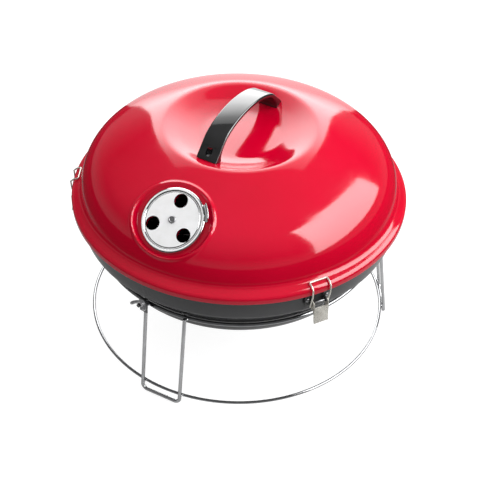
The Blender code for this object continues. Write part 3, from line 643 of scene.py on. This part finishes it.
def stop_screw_frame(azimuth):
    """Stop screw above a leg's right wire, square to the bowl's sloping wall."""
    slope = Vector(BOWL_OUTLINE[6]) - Vector(BOWL_OUTLINE[7])
    normal = Vector((slope.y, 0.0, -slope.x)).normalized()
    wall = Vector(BOWL_OUTLINE[6]) * 0.9 + Vector(BOWL_OUTLINE[7]) * 0.1
    place = Vector((wall.x, 0.0, wall.y)) + normal * 0.0006
    turned = around(azimuth + leg_wire_turn())
    return axis_frame(turned @ place, turned.to_3x3() @ normal)


def air_hole_cutters(place, circle_radius, start, hole_radius, reach, segments):
    """Cutters for three air holes in a ring and for the rivet's bore, along a frame's Z."""
    lift = Vector((0.0, 0.0, reach))
    cutters = []
    for step in range(3):
        angle = start + 2.0 * pi * step / 3.0
        centre = Vector((circle_radius * cos(angle), circle_radius * sin(angle), 0.0))
        ends = place @ (centre - lift), place @ (centre + lift)
        cutters.append(cylinder("hole", *ends, hole_radius, segments))
    cutters.append(cylinder("hole", place @ -lift, place @ lift, RIVET_BORE, 20))
    return cutters


# ---------------------------------------------------------------- lid
def press_pad(grid, depth):
    """Press the flat round pad of the vent, with its raised bead, into a grid of shell points."""
    to_vent = np.array(VENT.inverted())
    flat = grid.reshape(-1, 3)
    local = flat @ to_vent[:3, :3].T + to_vent[:3, 3]
    reach = np.hypot(local[:, 0] / VENT_PAD[0], local[:, 1] / VENT_PAD[1])
    near = (reach < 1.6) & (local[:, 2] > -0.03)
    above = local[:, 2] + depth
    edge = np.clip((reach - 0.885) / 0.125, 0.0, 1.0)
    edge = edge * edge * (3.0 - 2.0 * edge)
    target = above * edge + VENT_BEAD_HEIGHT * np.exp(-((reach - 1.0) / 0.042) ** 2)
    local[:, 2] += np.where(near, target - above, 0.0)
    back = np.array(VENT)
    return (local @ back[:3, :3].T + back[:3, 3]).reshape(grid.shape)


def lid_columns():
    """Azimuths of the lid's columns, denser across the vent pad."""
    half = radians(24.0)
    fine = np.linspace(VENT_AZIMUTH - half, VENT_AZIMUTH + half, 137)
    coarse = np.linspace(VENT_AZIMUTH + half, VENT_AZIMUTH - half + 2.0 * pi, 160)[1:-1]
    return np.concatenate([fine, coarse])


def build_lid():
    """The lid, with its pressed vent pad, air holes and screw holes."""
    smooth = centripetal(LID_OUTLINE, 12)
    outer = resample(smooth, lambda p: 0.0010 if 0.100 < p[0] < 0.1725 and p[1] > 0.186 else
                     (0.0006 if p[0] > 0.1720 else 0.0022))
    inner = resample(inward_offset(smooth, SHEET), lambda p: 0.0016 if p[0] > 0.100 else 0.0030)
    columns = lid_columns()
    outside = press_pad(lathe_grid(outer, columns), 0.0)
    inside = press_pad(lathe_grid(inner[::-1], columns), SHEET)
    lip_middle = (outer[-1] + inner[-1]) / 2.0
    lip = [lip_middle + np.array((0.55 * SHEET * cos(t), -0.45 * SHEET * sin(t)))
           for t in np.radians((35.0, 70.0, 110.0, 145.0))]
    grid = np.concatenate([outside, lathe_grid(np.array(lip), columns), inside], axis=0)
    lid = grid_object("lid_shell_enamel", grid, sharp=60.0)
    holes = air_hole_cutters(VENT, AIR_HOLE_CIRCLE, AIR_HOLE_START,
                             AIR_HOLE_RADIUS + AIR_HOLE_MARGIN, 0.004, 40)
    for side in (-1.0, 1.0):
        foot = HANDLE @ Vector((side * HANDLE_SCREW_OFFSET, 0.0, 0.0))
        holes.append(cylinder("hole", foot + Vector((0, 0, 0.243)), foot + Vector((0, 0, 0.252)),
                              SCREW_BORE, 20))
    cut(lid, join(holes[0], holes[1:]), sharp=60.0)
    finish_piece(lid, "lid_shell")


def build_damper():
    """The lid's turning disc with its bent-up tab, and its rivet."""
    outer = DAMPER_RADIUS
    top = DAMPER_HEIGHT
    face = top - 0.0004
    groove = top - 0.0012
    profile = rounded_profile([
        (0.0, face), (outer - 0.0058, face), (outer - 0.0051, groove), (outer - 0.0044, groove),
        (outer - 0.0034, top), (outer - 0.0014, top), (outer, top - 0.0014), (outer, 0.0004),
        (outer - 0.0008, 0.0003), (outer - 0.0012, top - 0.0024), (0.0, top - 0.0024)], 0.0009, 5)
    damper = lathe("lid_damper_disc", profile, 160, sharp=50.0)
    tab_rows = [(outer - 0.0010, 0.0014), (outer + 0.0012, 0.0016), (outer + 0.0026, 0.0028),
                (outer + 0.0036, 0.0060), (outer + 0.0044, 0.0088)]
    grid = []
    for radius, height in centripetal(tab_rows, 4):
        narrow = 1.0 - 0.22 * max((height - 0.0014) / 0.0074, 0.0)
        turns = [radians(DAMPER_TAB_ANGLE + span * narrow) for span in np.linspace(-15.5, 15.5, 25)]
        grid.append([(radius * cos(t), radius * sin(t), height) for t in turns])
    tab = skin("tab", grid, wrap=False, caps=False)
    thicken = tab.modifiers.new("thick", "SOLIDIFY")
    thicken.thickness = 0.0009
    thicken.offset = 0.0
    apply_modifiers(tab)
    bevel(tab, 0.0003, 2, 60.0)
    cut(damper, tab, "UNION")
    holes = air_hole_cutters(Matrix.Identity(4), AIR_HOLE_CIRCLE, AIR_HOLE_START,
                             AIR_HOLE_RADIUS, 0.012, 48)
    cut(damper, join(holes[0], holes[1:]), sharp=35.0)
    damper.data.transform(VENT)
    finish_piece(damper, "lid_damper", SATIN)
    damper.data.materials.append(MATERIALS["chrome"])
    facing = VENT.to_3x3() @ Vector((0.0, 0.0, 1.0))
    for face_polygon in damper.data.polygons:
        if abs(face_polygon.normal.dot(facing)) < 0.94:
            face_polygon.material_index = 1

    seat = VENT @ shift(0.0, 0.0, face + 0.0003)
    head = rounded_profile([(0.0, 0.0012), (0.0012, 0.0013), (0.0022, 0.0010), (0.0026, 0.0016),
                            (0.0036, 0.0013), (0.0042, 0.0), (0.0020, 0.0), (0.0020, -0.0064),
                            (0.0036, -0.0064), (0.0026, -0.0074), (0.0, -0.0074)], 0.0005, 3)
    rivet = lathe("lid_damper_rivet_head", head, 40, seat, sharp=50.0)
    finish_piece(rivet, "lid_damper_rivet")


def build_handle():
    """The strap handle, lofted from rounded-rectangle sections between its outer and inner curves."""
    outer_half = [(-0.0690, 0.2530), (-0.0662, 0.2560), (-0.0620, 0.2600), (-0.0560, 0.2663),
                  (-0.0490, 0.2721), (-0.0370, 0.2778), (-0.0215, 0.2818), (0.0, 0.2836)]
    inner_half = [(-0.0575, 0.2485), (-0.0570, 0.2540), (-0.0553, 0.2585), (-0.0515, 0.2634),
                  (-0.0450, 0.2688), (-0.0345, 0.2738), (-0.0205, 0.2774), (0.0, 0.2792)]
    outer, inner = (centripetal(curve + [(-x, z) for x, z in reversed(curve[:-1])], 10)
                    for curve in (outer_half, inner_half))
    half = HANDLE_WIDTH / 2.0
    rings = []
    for (ox, oz), (ix, iz) in zip(outer, inner):
        middle = np.array(((ox + ix) / 2.0, (oz + iz) / 2.0))
        thick = np.array((ox - ix, oz - iz)) / 2.0
        depth = np.linalg.norm(thick)
        up = thick / depth
        corner = min(0.0020, 0.8 * depth)
        ring = []
        for quarter, (sx, sz) in enumerate(((1, 1), (-1, 1), (-1, -1), (1, -1))):
            for t in np.linspace(0.0, 90.0, 6):
                angle = radians(t + 90.0 * quarter)
                y = sx * (half - corner) + corner * cos(angle)
                w = sz * (depth - corner) + corner * sin(angle)
                at = middle + up * w
                ring.append((at[0], y, at[1]))
        rings.append(ring)
    handle = skin("lid_handle_strap", rings, sharp=45.0)
    for side in (-1.0, 1.0):
        bore = rounded_profile([(0.0, 0.2720), (0.0050, 0.2720), (0.0036, 0.2600), (0.0036, 0.2537),
                                (0.0018, 0.2537), (0.0018, 0.2400), (0.0, 0.2400)], 0.0003, 2)
        cutter = lathe("bore", bore, 40, shift(side * HANDLE_SCREW_OFFSET, 0.0, 0.0))
        cut(handle, cutter, sharp=45.0)
    handle.data.transform(HANDLE)
    finish_piece(handle, "lid_handle")

    for name, side in (("front", -1.0), ("rear", 1.0)):
        foot = HANDLE @ Vector((side * HANDLE_SCREW_OFFSET, 0.0, 0.0))
        seat = Matrix.Translation(foot + Vector((0.0, 0.0, HANDLE_SCREW_SEAT)))
        screw = cross_head("handle_screw_%s_head" % name, 0.0031, 0.0018, 0.0015, 0.0110, seat)
        finish_piece(screw, "handle_screw_" + name)
        nut = hex_nut("handle_nut_%s_hex" % name, 0.0032, 0.0018, 0.0024,
                      Matrix.Translation(foot + Vector((0.0, 0.0, HANDLE_NUT_BASE))))
        finish_piece(nut, "handle_nut_" + name)


def cross_head(name, head_radius, head_height, shank_radius, length, matrix):
    """Pan-head screw with a cross recess and rolled thread grooves."""
    profile = [(0.0, head_height), (head_radius * 0.45, head_height * 0.97),
               (head_radius * 0.80, head_height * 0.72), (head_radius, head_height * 0.30),
               (head_radius, 0.0), (shank_radius, 0.0)]
    pitch = 0.0007
    z = -0.0006
    while z - pitch > -length:
        profile += [(shank_radius, z), (shank_radius * 0.86, z - pitch * 0.5)]
        z -= pitch
    profile += [(shank_radius, z), (shank_radius * 0.7, -length), (0.0, -length)]
    screw = lathe(name, rounded_profile(profile[:6], 0.0004, 3) + profile[6:], 32, sharp=50.0)
    wide = head_radius * 0.16
    deep = head_height * 0.6
    reach = head_radius * 0.62
    arm = box("arm", (-reach, -wide, head_height - deep), (reach, wide, head_height + 0.001))
    other = box("arm2", (-wide, -reach, head_height - deep), (wide, reach, head_height + 0.001))
    cut(screw, arm, sharp=40.0)
    cut(screw, other, sharp=40.0)
    screw.data.transform(matrix)
    return screw


def hex_nut(name, radius, bore, height, matrix):
    """Hexagon nut with chamfered corners and a bore."""
    outline = [(radius * cos(radians(60.0 * k)), radius * sin(radians(60.0 * k)))
               for k in range(6)]
    nut = extruded(name, outline, height / 2.0, shift(0.0, 0.0, height / 2.0), 0.00025)
    cut(nut, cylinder("bore", (0, 0, -0.001), (0, 0, height + 0.001), bore, 24), sharp=35.0)
    nut.data.transform(matrix)
    return nut


# ---------------------------------------------------------------- bowl and grates
def build_bowl():
    """The bowl with its rolled rim and air holes, its damper and the rivet."""
    smooth = centripetal(BOWL_OUTLINE, 10)
    outer = resample(smooth, lambda p: 0.0016 if p[0] > 0.15 else 0.0030)
    inner = inward_offset(outer, SHEET)
    rim = [(BOWL_RIM[0] + BOWL_RIM_ROLL * cos(a), BOWL_RIM[1] + BOWL_RIM_ROLL * sin(a))
           for a in (radians(turn) for turn in np.linspace(190.0, -105.0, 19))]
    profile = np.concatenate([inner[::-1], np.array(rim), outer], axis=0)
    floor_middle = shift(0.0, 0.0, BOWL_BOTTOM)
    bowl = lathe("bowl_shell_enamel", profile, 256, sharp=60.0)
    holes = air_hole_cutters(floor_middle, BOWL_AIR_CIRCLE, 0.0, AIR_HOLE_RADIUS, 0.006, 40)
    cut(bowl, join(holes[0], holes[1:]), sharp=60.0)
    finish_piece(bowl, "bowl_shell")

    top = BOWL_BOTTOM - GAP
    low = top - BOWL_DAMPER_SHEET
    radius = BOWL_DAMPER_RADIUS
    disc = rounded_profile([(0.0, top), (radius - 0.004, top), (radius, top), (radius, low),
                            (radius - 0.004, low), (0.0, low)], 0.0003, 3)
    damper = lathe("bowl_damper_disc", disc, 120, sharp=50.0)
    outline = [(radius - 0.003, -0.0065), (radius + 0.008, -0.0055), (radius + 0.0112, -0.0042),
               (radius + 0.012, 0.0), (radius + 0.0112, 0.0042), (radius + 0.008, 0.0055),
               (radius - 0.003, 0.0065)]
    middle = around(BOWL_DAMPER_TAB_ANGLE) @ shift(0.0, 0.0, (top + low) / 2.0)
    tab = extruded("tab", outline, 0.0004, middle, 0.0001)
    cut(damper, tab, "UNION")
    holes = air_hole_cutters(floor_middle, BOWL_AIR_CIRCLE, 0.0, AIR_HOLE_RADIUS, 0.006, 40)
    cut(damper, join(holes[0], holes[1:]), sharp=40.0)
    finish_piece(damper, "bowl_damper")

    seat = shift(0.0, 0.0, low - 0.0003) @ Matrix.Rotation(pi, 4, "X")
    head = rounded_profile([(0.0, 0.0014), (0.0024, 0.0013), (0.0042, 0.0), (0.0020, 0.0),
                            (0.0020, -0.0031), (0.0036, -0.0031), (0.0025, -0.0041),
                            (0.0, -0.0041)], 0.0004, 3)
    finish_piece(lathe("bowl_damper_rivet_head", head, 40, seat, sharp=50.0), "bowl_damper_rivet")


def build_grate(node, radius, height, ring_wire, bar_wire, spacing, cross_bars):
    """Round wire grate with rounded bar ends welded on its ring."""
    grate = tube(node + "_wires", circle(radius, height, 160), ring_wire, 14, closed=True)
    level = height + 0.3 * ring_wire
    count = int((radius - ring_wire) / spacing)
    bars = []
    for step in range(-count, count + 1):
        y = step * spacing
        reach = sqrt(radius * radius - y * y)
        xs = np.linspace(-reach, reach, 9)
        bars.append(tube("bar", [(x, y, level) for x in xs], bar_wire, 12))
    for x in cross_bars:
        reach = sqrt(radius * radius - x * x)
        ys = np.linspace(-reach, reach, 9)
        bars.append(tube("bar", [(x, y, level - 1.37 * bar_wire) for y in ys], bar_wire, 12))
    join(grate, bars)
    finish_piece(grate, node)


# ---------------------------------------------------------------- stand
def weld(name, middle, size):
    """Small welded bead, an uneven flattened ball."""
    bm = bmesh.new()
    bmesh.ops.create_icosphere(bm, subdivisions=3, radius=1.0)
    for vert in bm.verts:
        x, y, z = vert.co
        ripple = 1.0 + 0.06 * sin(9.0 * x + 4.0 * y) + 0.05 * sin(11.0 * z)
        vert.co = Vector((x * size[0], y * size[1], z * size[2])) * ripple
    obj = from_bmesh(name, bm)
    obj.data.transform(middle)
    return obj


def build_rings():
    """The stand's upper ring and base ring, in a darkened copy of the chrome that paints their shade."""
    for node, (radius, height, wire) in (("stand_upper_ring", UPPER_RING), ("stand_base_ring", BASE_RING)):
        ring = tube(node + "_wire", circle(radius, height, 224), wire, 20, closed=True)
        # The rings get the darkened chrome copy, which paints their shade.
        finish_piece(ring, node, SHADED_RING_CHROME)


def build_leg(node, azimuth):
    """U-shaped wire leg with weld beads, its clamp, bolt, wing nut and stop screw."""
    foot = Vector((LEG_FOOT[0], 0.0, LEG_FOOT[1]))
    top = Vector((LEG_TOP[0], 0.0, LEG_TOP[1]))
    across = Vector((0.0, LEG_HALF_WIDTH, 0.0))
    path = rounded_path([top - across, foot - across, foot + across, top + across], 0.0060, 12)
    leg = tube(node + "_wire", path, LEG_WIRE, 20)
    beads = []
    ring_turn = degrees(asin(LEG_HALF_WIDTH / (UPPER_RING[0] + 0.002)))
    lean = (BASE_RING[1] - LEG_FOOT[1]) / (LEG_TOP[1] - LEG_FOOT[1])
    wire_distance = LEG_FOOT[0] + (LEG_TOP[0] - LEG_FOOT[0]) * lean
    base_turn = degrees(atan2(LEG_HALF_WIDTH, wire_distance))
    for side in (-1.0, 1.0):
        turn = around(side * ring_turn)
        at = turn @ Vector((UPPER_RING[0] + 0.0021, 0.0, UPPER_RING[1] - 0.0004))
        beads.append(weld("bead", Matrix.Translation(at) @ turn, (0.0012, 0.0026, 0.0016)))
        turn = around(side * base_turn)
        at = Vector((wire_distance, side * LEG_HALF_WIDTH, BASE_RING[1]))
        at -= turn @ Vector((0.0020, 0.0, 0.0))
        beads.append(weld("bead", Matrix.Translation(at) @ turn, (0.0010, 0.0021, 0.0014)))
    join(leg, beads)
    leg.data.transform(around(azimuth))
    finish_piece(leg, node)

    bolt = clamp_bolt_frame(azimuth)
    outline = [(-0.0050, -0.0140), (0.0050, -0.0140), (0.0050, 0.0026), (0.0042, 0.0040),
               (0.0026, 0.0050), (-0.0026, 0.0050), (-0.0042, 0.0040), (-0.0050, 0.0026)]
    place = (around(azimuth - leg_wire_turn())
             @ shift(CLAMP_PLATE_DISTANCE, 0.0, CLAMP_BOLT_HEIGHT) @ UPRIGHT)
    clamp = extruded(node + "_clamp_plate", outline, 0.0008, place, 0.0003, 3)
    bore = cylinder("bore", bolt @ Vector((0, 0, -0.005)), bolt @ Vector((0, 0, 0.008)), CLAMP_BORE, 24)
    cut(clamp, bore, sharp=35.0)
    finish_piece(clamp, node + "_clamp")

    inward = bolt @ shift(0.0, 0.0, -0.0102) @ Matrix.Rotation(pi, 4, "X")
    finish_piece(cross_head(node + "_bolt_head", 0.0042, 0.0020, 0.0020, 0.0195, inward), node + "_bolt")
    build_wing_nut(node + "_wing_nut", bolt @ shift(0.0, 0.0, 0.0019))
    seat = stop_screw_frame(azimuth)
    finish_piece(cross_head(node + "_stop_screw_head", 0.0036, 0.0018, 0.0015, 0.0045, seat),
                 node + "_stop_screw")


def build_wing_nut(node, matrix):
    """Wing nut: tapered hub with a collar, and two dished, rounded wings."""
    hub = rounded_profile([(0.0023, 0.0), (0.0045, 0.0), (0.0046, 0.0010), (0.0037, 0.0044),
                           (0.0034, 0.0050), (0.0023, 0.0050)], 0.0004, 3)
    nut = lathe(node + "_cast", hub + [hub[0]], 40, sharp=45.0)
    merge_doubles(nut)
    for side in (-1.0, 1.0):
        outline = centripetal([(side * x, z) for x, z in (
            (0.0030, 0.0006), (0.0046, 0.0006), (0.0064, 0.0018), (0.0084, 0.0040), (0.0098, 0.0066),
            (0.0096, 0.0088), (0.0080, 0.0097), (0.0064, 0.0088), (0.0050, 0.0060), (0.0030, 0.0042))], 4)
        wing = extruded("wing", outline, 0.0008, Matrix.Rotation(radians(90), 4, "X"), 0.00045, 3)
        cut(nut, wing, "UNION", 45.0)
    nut.data.transform(matrix)
    finish_piece(nut, node, CAST)


def merge_doubles(obj):
    """Merge points that lie on each other."""
    bm = bmesh.new()
    bm.from_mesh(obj.data)
    bmesh.ops.remove_doubles(bm, verts=bm.verts, dist=1e-6)
    bmesh.ops.recalc_face_normals(bm, faces=bm.faces)
    bm.to_mesh(obj.data)
    bm.free()


# ---------------------------------------------------------------- latches
def build_latch(node, azimuth):
    """Toggle latch: riveted base with ears, folded lever, pivot pin and wire bail."""
    turn = around(azimuth)
    pin_x, pin_z = LATCH_PIN
    middle = (LATCH_PLATE_LOW + LATCH_PLATE_HIGH) / 2.0
    w = LATCH_HALF_WIDTH
    h = (LATCH_PLATE_HIGH - LATCH_PLATE_LOW) / 2.0
    c = 0.0022
    outline = [(-w, -h + c), (-w + 0.3 * c, -h + 0.3 * c), (-w + c, -h), (w - c, -h),
               (w - 0.3 * c, -h + 0.3 * c), (w, -h + c), (w, h - c), (w - 0.3 * c, h - 0.3 * c),
               (w - c, h), (-w + c, h), (-w + 0.3 * c, h - 0.3 * c), (-w, h - c)]
    root = LATCH_PLATE_INNER + LATCH_PLATE / 2.0
    base = extruded(node + "_base_plate", outline, LATCH_PLATE / 2.0,
                    shift(root, 0.0, middle) @ UPRIGHT, 0.0002)
    reach = pin_x - root
    ear = centripetal([(root - pin_x, -0.0045), (-0.3 * reach, -0.0030), (0.0, -0.0028), (0.0020, -0.0020),
                       (0.0028, 0.0), (0.0020, 0.0020), (0.0, 0.0028), (-0.3 * reach, 0.0032),
                       (root - pin_x, 0.0050)], 3)
    for side in (-1.0, 1.0):
        place = shift(pin_x, side * EAR_OFFSET, pin_z) @ SIDEWAYS
        cut(base, extruded("ear", ear, EAR_HALF, place, 0.00015), "UNION", 40.0)
    cut(base, cylinder("bore", (pin_x, -0.02, pin_z), (pin_x, 0.02, pin_z), PIN_BORE, 20), sharp=40.0)
    base.data.transform(turn)
    finish_piece(base, node + "_base")

    build_lever(node + "_lever", turn @ shift(pin_x, 0.0, pin_z))
    build_bail(node + "_bail", turn @ shift(BAIL_PIVOT[0], 0.0, BAIL_PIVOT[1]))

    pin_profile = [(0.0, -0.0088), (0.0008, -0.0088), (0.00095, -0.0086), (0.00095, 0.0086),
                   (0.0008, 0.0088), (0.0, 0.0088)]
    pin = lathe(node + "_pin_rod", pin_profile, 24,
                turn @ shift(pin_x, 0.0, pin_z) @ Matrix.Rotation(radians(90), 4, "X"))
    finish_piece(pin, node + "_pin")

    for label, side in (("_rivet_left", -1.0), ("_rivet_right", 1.0)):
        outward = LATCH_PLATE_INNER + LATCH_PLATE + GAP
        seat = turn @ axis_frame((outward, side * LATCH_RIVET[0], LATCH_RIVET[1]), (1.0, 0.0, 0.0))
        head = rounded_profile([(0.0, 0.0011), (0.0010, 0.0010), (0.0019, 0.0006), (0.0023, 0.0),
                                (0.0012, 0.0), (0.0012, -0.0050), (0.0021, -0.0050),
                                (0.0014, -0.0058), (0.0, -0.0058)], 0.0003, 3)
        finish_piece(lathe(node + label + "_head", head, 32, seat, sharp=50.0), node + label)


def build_lever(node, matrix):
    """Folded lever: two cheeks on the pin and a broad finger plate that flares out at its tail."""
    side_view = [(0.0, 0.0024), (-0.0010, 0.0022), (-0.0018, 0.0017), (-0.0025, 0.0), (-0.0036, -0.0040),
                 (-0.0040, -0.0060), (-0.0038, -0.0074), (-0.0030, -0.0086), (0.0004, -0.0100),
                 (0.0024, -0.0114), (0.0034, -0.0134), (0.0036, -0.0200), (0.0050, -0.0246),
                 (0.0058, -0.0242), (0.0046, -0.0196), (0.0045, -0.0036), (0.0032, 0.0),
                 (0.0027, 0.0012), (0.0018, 0.0019)]
    lever = extruded(node + "_plate", side_view, LEVER_OUTER, SIDEWAYS, 0.00035, 3)
    cut(lever, box("hollow", (-0.02, -LEVER_INNER, -0.0194), (0.0036, LEVER_INNER, 0.02)), sharp=40.0)
    cut(lever, box("window", (0.0, -LEVER_INNER, -0.0040), (0.02, LEVER_INNER, 0.03)), sharp=40.0)
    bail_x = BAIL_PIVOT[0] - LATCH_PIN[0]
    bail_z = BAIL_PIVOT[1] - LATCH_PIN[1]
    for x, z, r in ((0.0, 0.0, PIN_BORE), (bail_x, bail_z, BAIL_BORE)):
        cut(lever, cylinder("bore", (x, -0.02, z), (x, 0.02, z), r, 20), sharp=40.0)
    bevel(lever, 0.00012, 2, 50.0)
    lever.data.transform(matrix)
    finish_piece(lever, node)


def build_bail(node, matrix):
    """Wire loop with in-turned ends and a bar that hooks over the lid's flange."""
    side = [(0.0, 0.0), (0.0037, 0.0165), (0.0040, 0.0252), (0.0002, 0.0285), (-0.0045, 0.0297)]
    right = [Vector((x, BAIL_HALF_WIDTH, z)) for x, z in side]
    left = [Vector((x, -BAIL_HALF_WIDTH, z)) for x, z in reversed(side)]
    ends = (Vector((0.0, 0.0073, 0.0)), Vector((0.0, -0.0073, 0.0)))
    path = rounded_path([ends[0]] + right + left + [ends[1]], 0.0013, 7)
    bail = tube(node + "_wire", path, BAIL_WIRE, 14)
    bail.data.transform(matrix)
    finish_piece(bail, node)


# ---------------------------------------------------------------- stage
def build_floor():
    """Plain pale floor."""
    bm = bmesh.new()
    bmesh.ops.create_grid(bm, x_segments=8, y_segments=8, size=6.0)
    floor = from_bmesh("studio_floor", bm)
    material, tree, shader = new_material("studio_floor_look")
    distance = add_node(tree, "VectorMath", {0: object_coordinates(tree)})
    distance.operation = "LENGTH"
    near = remap(tree, distance.outputs["Value"], 0.0, 1.0, *FLOOR_FADE)
    mirrored = ramp(tree, near, [(0.0, (0.40, 0.40, 0.40)), (1.0, (0.02, 0.02, 0.02))])
    seen = add_node(tree, "LightPath", {}).outputs["Is Camera Ray"]
    feed(tree, shader, {
        "Roughness": 0.9, "Specular IOR Level": 0.0, "Emission Color": WHITE,
        "Base Color": mix_colors(tree, seen, mirrored, FLOOR_COLOR),
        "Emission Strength": remap(tree, seen, 0.0, FLOOR_GLOW)})
    floor.data.materials.append(material)


def emitter(name, rows, stops):
    """Glowing sheet lofted through rows of (left point, right point), seen only in reflections.

    Its radiance follows the (height, radiance) stops.
    """
    sheet = skin(name, rows, wrap=False, caps=False)
    material, tree, shader = new_material(name + "_look")
    split = add_node(tree, "SeparateXYZ", {"Vector": object_coordinates(tree)})
    top = stops[-1][0]
    grey = ramp(tree, remap(tree, split.outputs["Z"], 0.0, 1.0, 0.0, top),
                [(height / top, (value / RADIANCE_SCALE,) * 3) for height, value in stops])
    feed(tree, shader, {
        "Base Color": (0.0, 0.0, 0.0, 1.0), "Specular IOR Level": 0.0, "Emission Color": WHITE,
        "Emission Strength": remap(tree, grey, 0.0, RADIANCE_SCALE)})
    sheet.data.materials.append(material)
    sheet.visible_camera = False
    sheet.visible_shadow = False


def build_lights():
    """A tall soft box behind, bent down to the floor, a panel at the right, and a dim surround."""
    target = Vector(LIGHT_TARGET)
    emitter("back_softbox", [((-reach, y, z), (reach, y, z)) for y, z, reach in BACK_PROFILE], BACK_STOPS)
    middle, across, upward = (Vector(axis) for axis in PANEL_AXES)
    corners = [target + (middle + across * h + upward * v) * PANEL_DISTANCE for h, v in PANEL_CORNERS]
    emitter("right_panel", [(corners[0], corners[1]), (corners[3], corners[2])], PANEL_STOPS)
    world = bpy.data.worlds.new("studio_world")
    bpy.context.scene.world = world
    world.use_nodes = True
    tree = world.node_tree
    path = add_node(tree, "LightPath", {}).outputs
    split = add_node(tree, "SeparateXYZ", {"Vector": add_node(tree, "TexCoord", {}).outputs["Generated"]})
    sky = ramp(tree, remap(tree, split.outputs["Z"], 0.0, 1.0, -0.2, 1.0), WORLD_GLOSSY)
    lit = mix_colors(tree, path["Is Glossy Ray"], (*WORLD_DIFFUSE, 1.0), sky)
    feed(tree, tree.nodes["Background"], {"Color": mix_colors(tree, path["Is Camera Ray"], lit, WHITE)})


def build_camera():
    """Camera at the product's three-quarter view from above."""
    back = Vector((0.0, -cos(CAMERA_ELEVATION), sin(CAMERA_ELEVATION)))
    right = Vector((1.0, 0.0, 0.0))
    up = back.cross(right)
    rolled_right = right * cos(CAMERA_ROLL) + up * sin(CAMERA_ROLL)
    rolled_up = up * cos(CAMERA_ROLL) - right * sin(CAMERA_ROLL)
    data = bpy.data.cameras.new("camera")
    data.sensor_width = CAMERA_SENSOR
    data.lens = CAMERA_LENS
    data.clip_start = 0.01
    data.clip_end = 50.0
    camera = bpy.data.objects.new("camera", data)
    camera.matrix_world = (Matrix.Translation(Vector(CAMERA_TARGET) + back * CAMERA_DISTANCE)
                           @ Matrix((rolled_right, rolled_up, back)).transposed().to_4x4())
    bpy.context.scene.collection.objects.link(camera)
    bpy.context.scene.camera = camera


# ---------------------------------------------------------------- assembly
bpy.context.scene.view_settings.view_transform = "Standard"
build_camera()
build_lid()
build_damper()
build_handle()
build_bowl()
build_grate("cooking_grate", *COOKING_GRATE)
build_grate("charcoal_grate", *CHARCOAL_GRATE)
build_rings()
for leg_name, leg_azimuth in LEG_AZIMUTHS.items():
    build_leg(leg_name, leg_azimuth)
for latch_name, latch_azimuth in LATCH_AZIMUTHS.items():
    build_latch(latch_name, latch_azimuth)
build_floor()
build_lights()
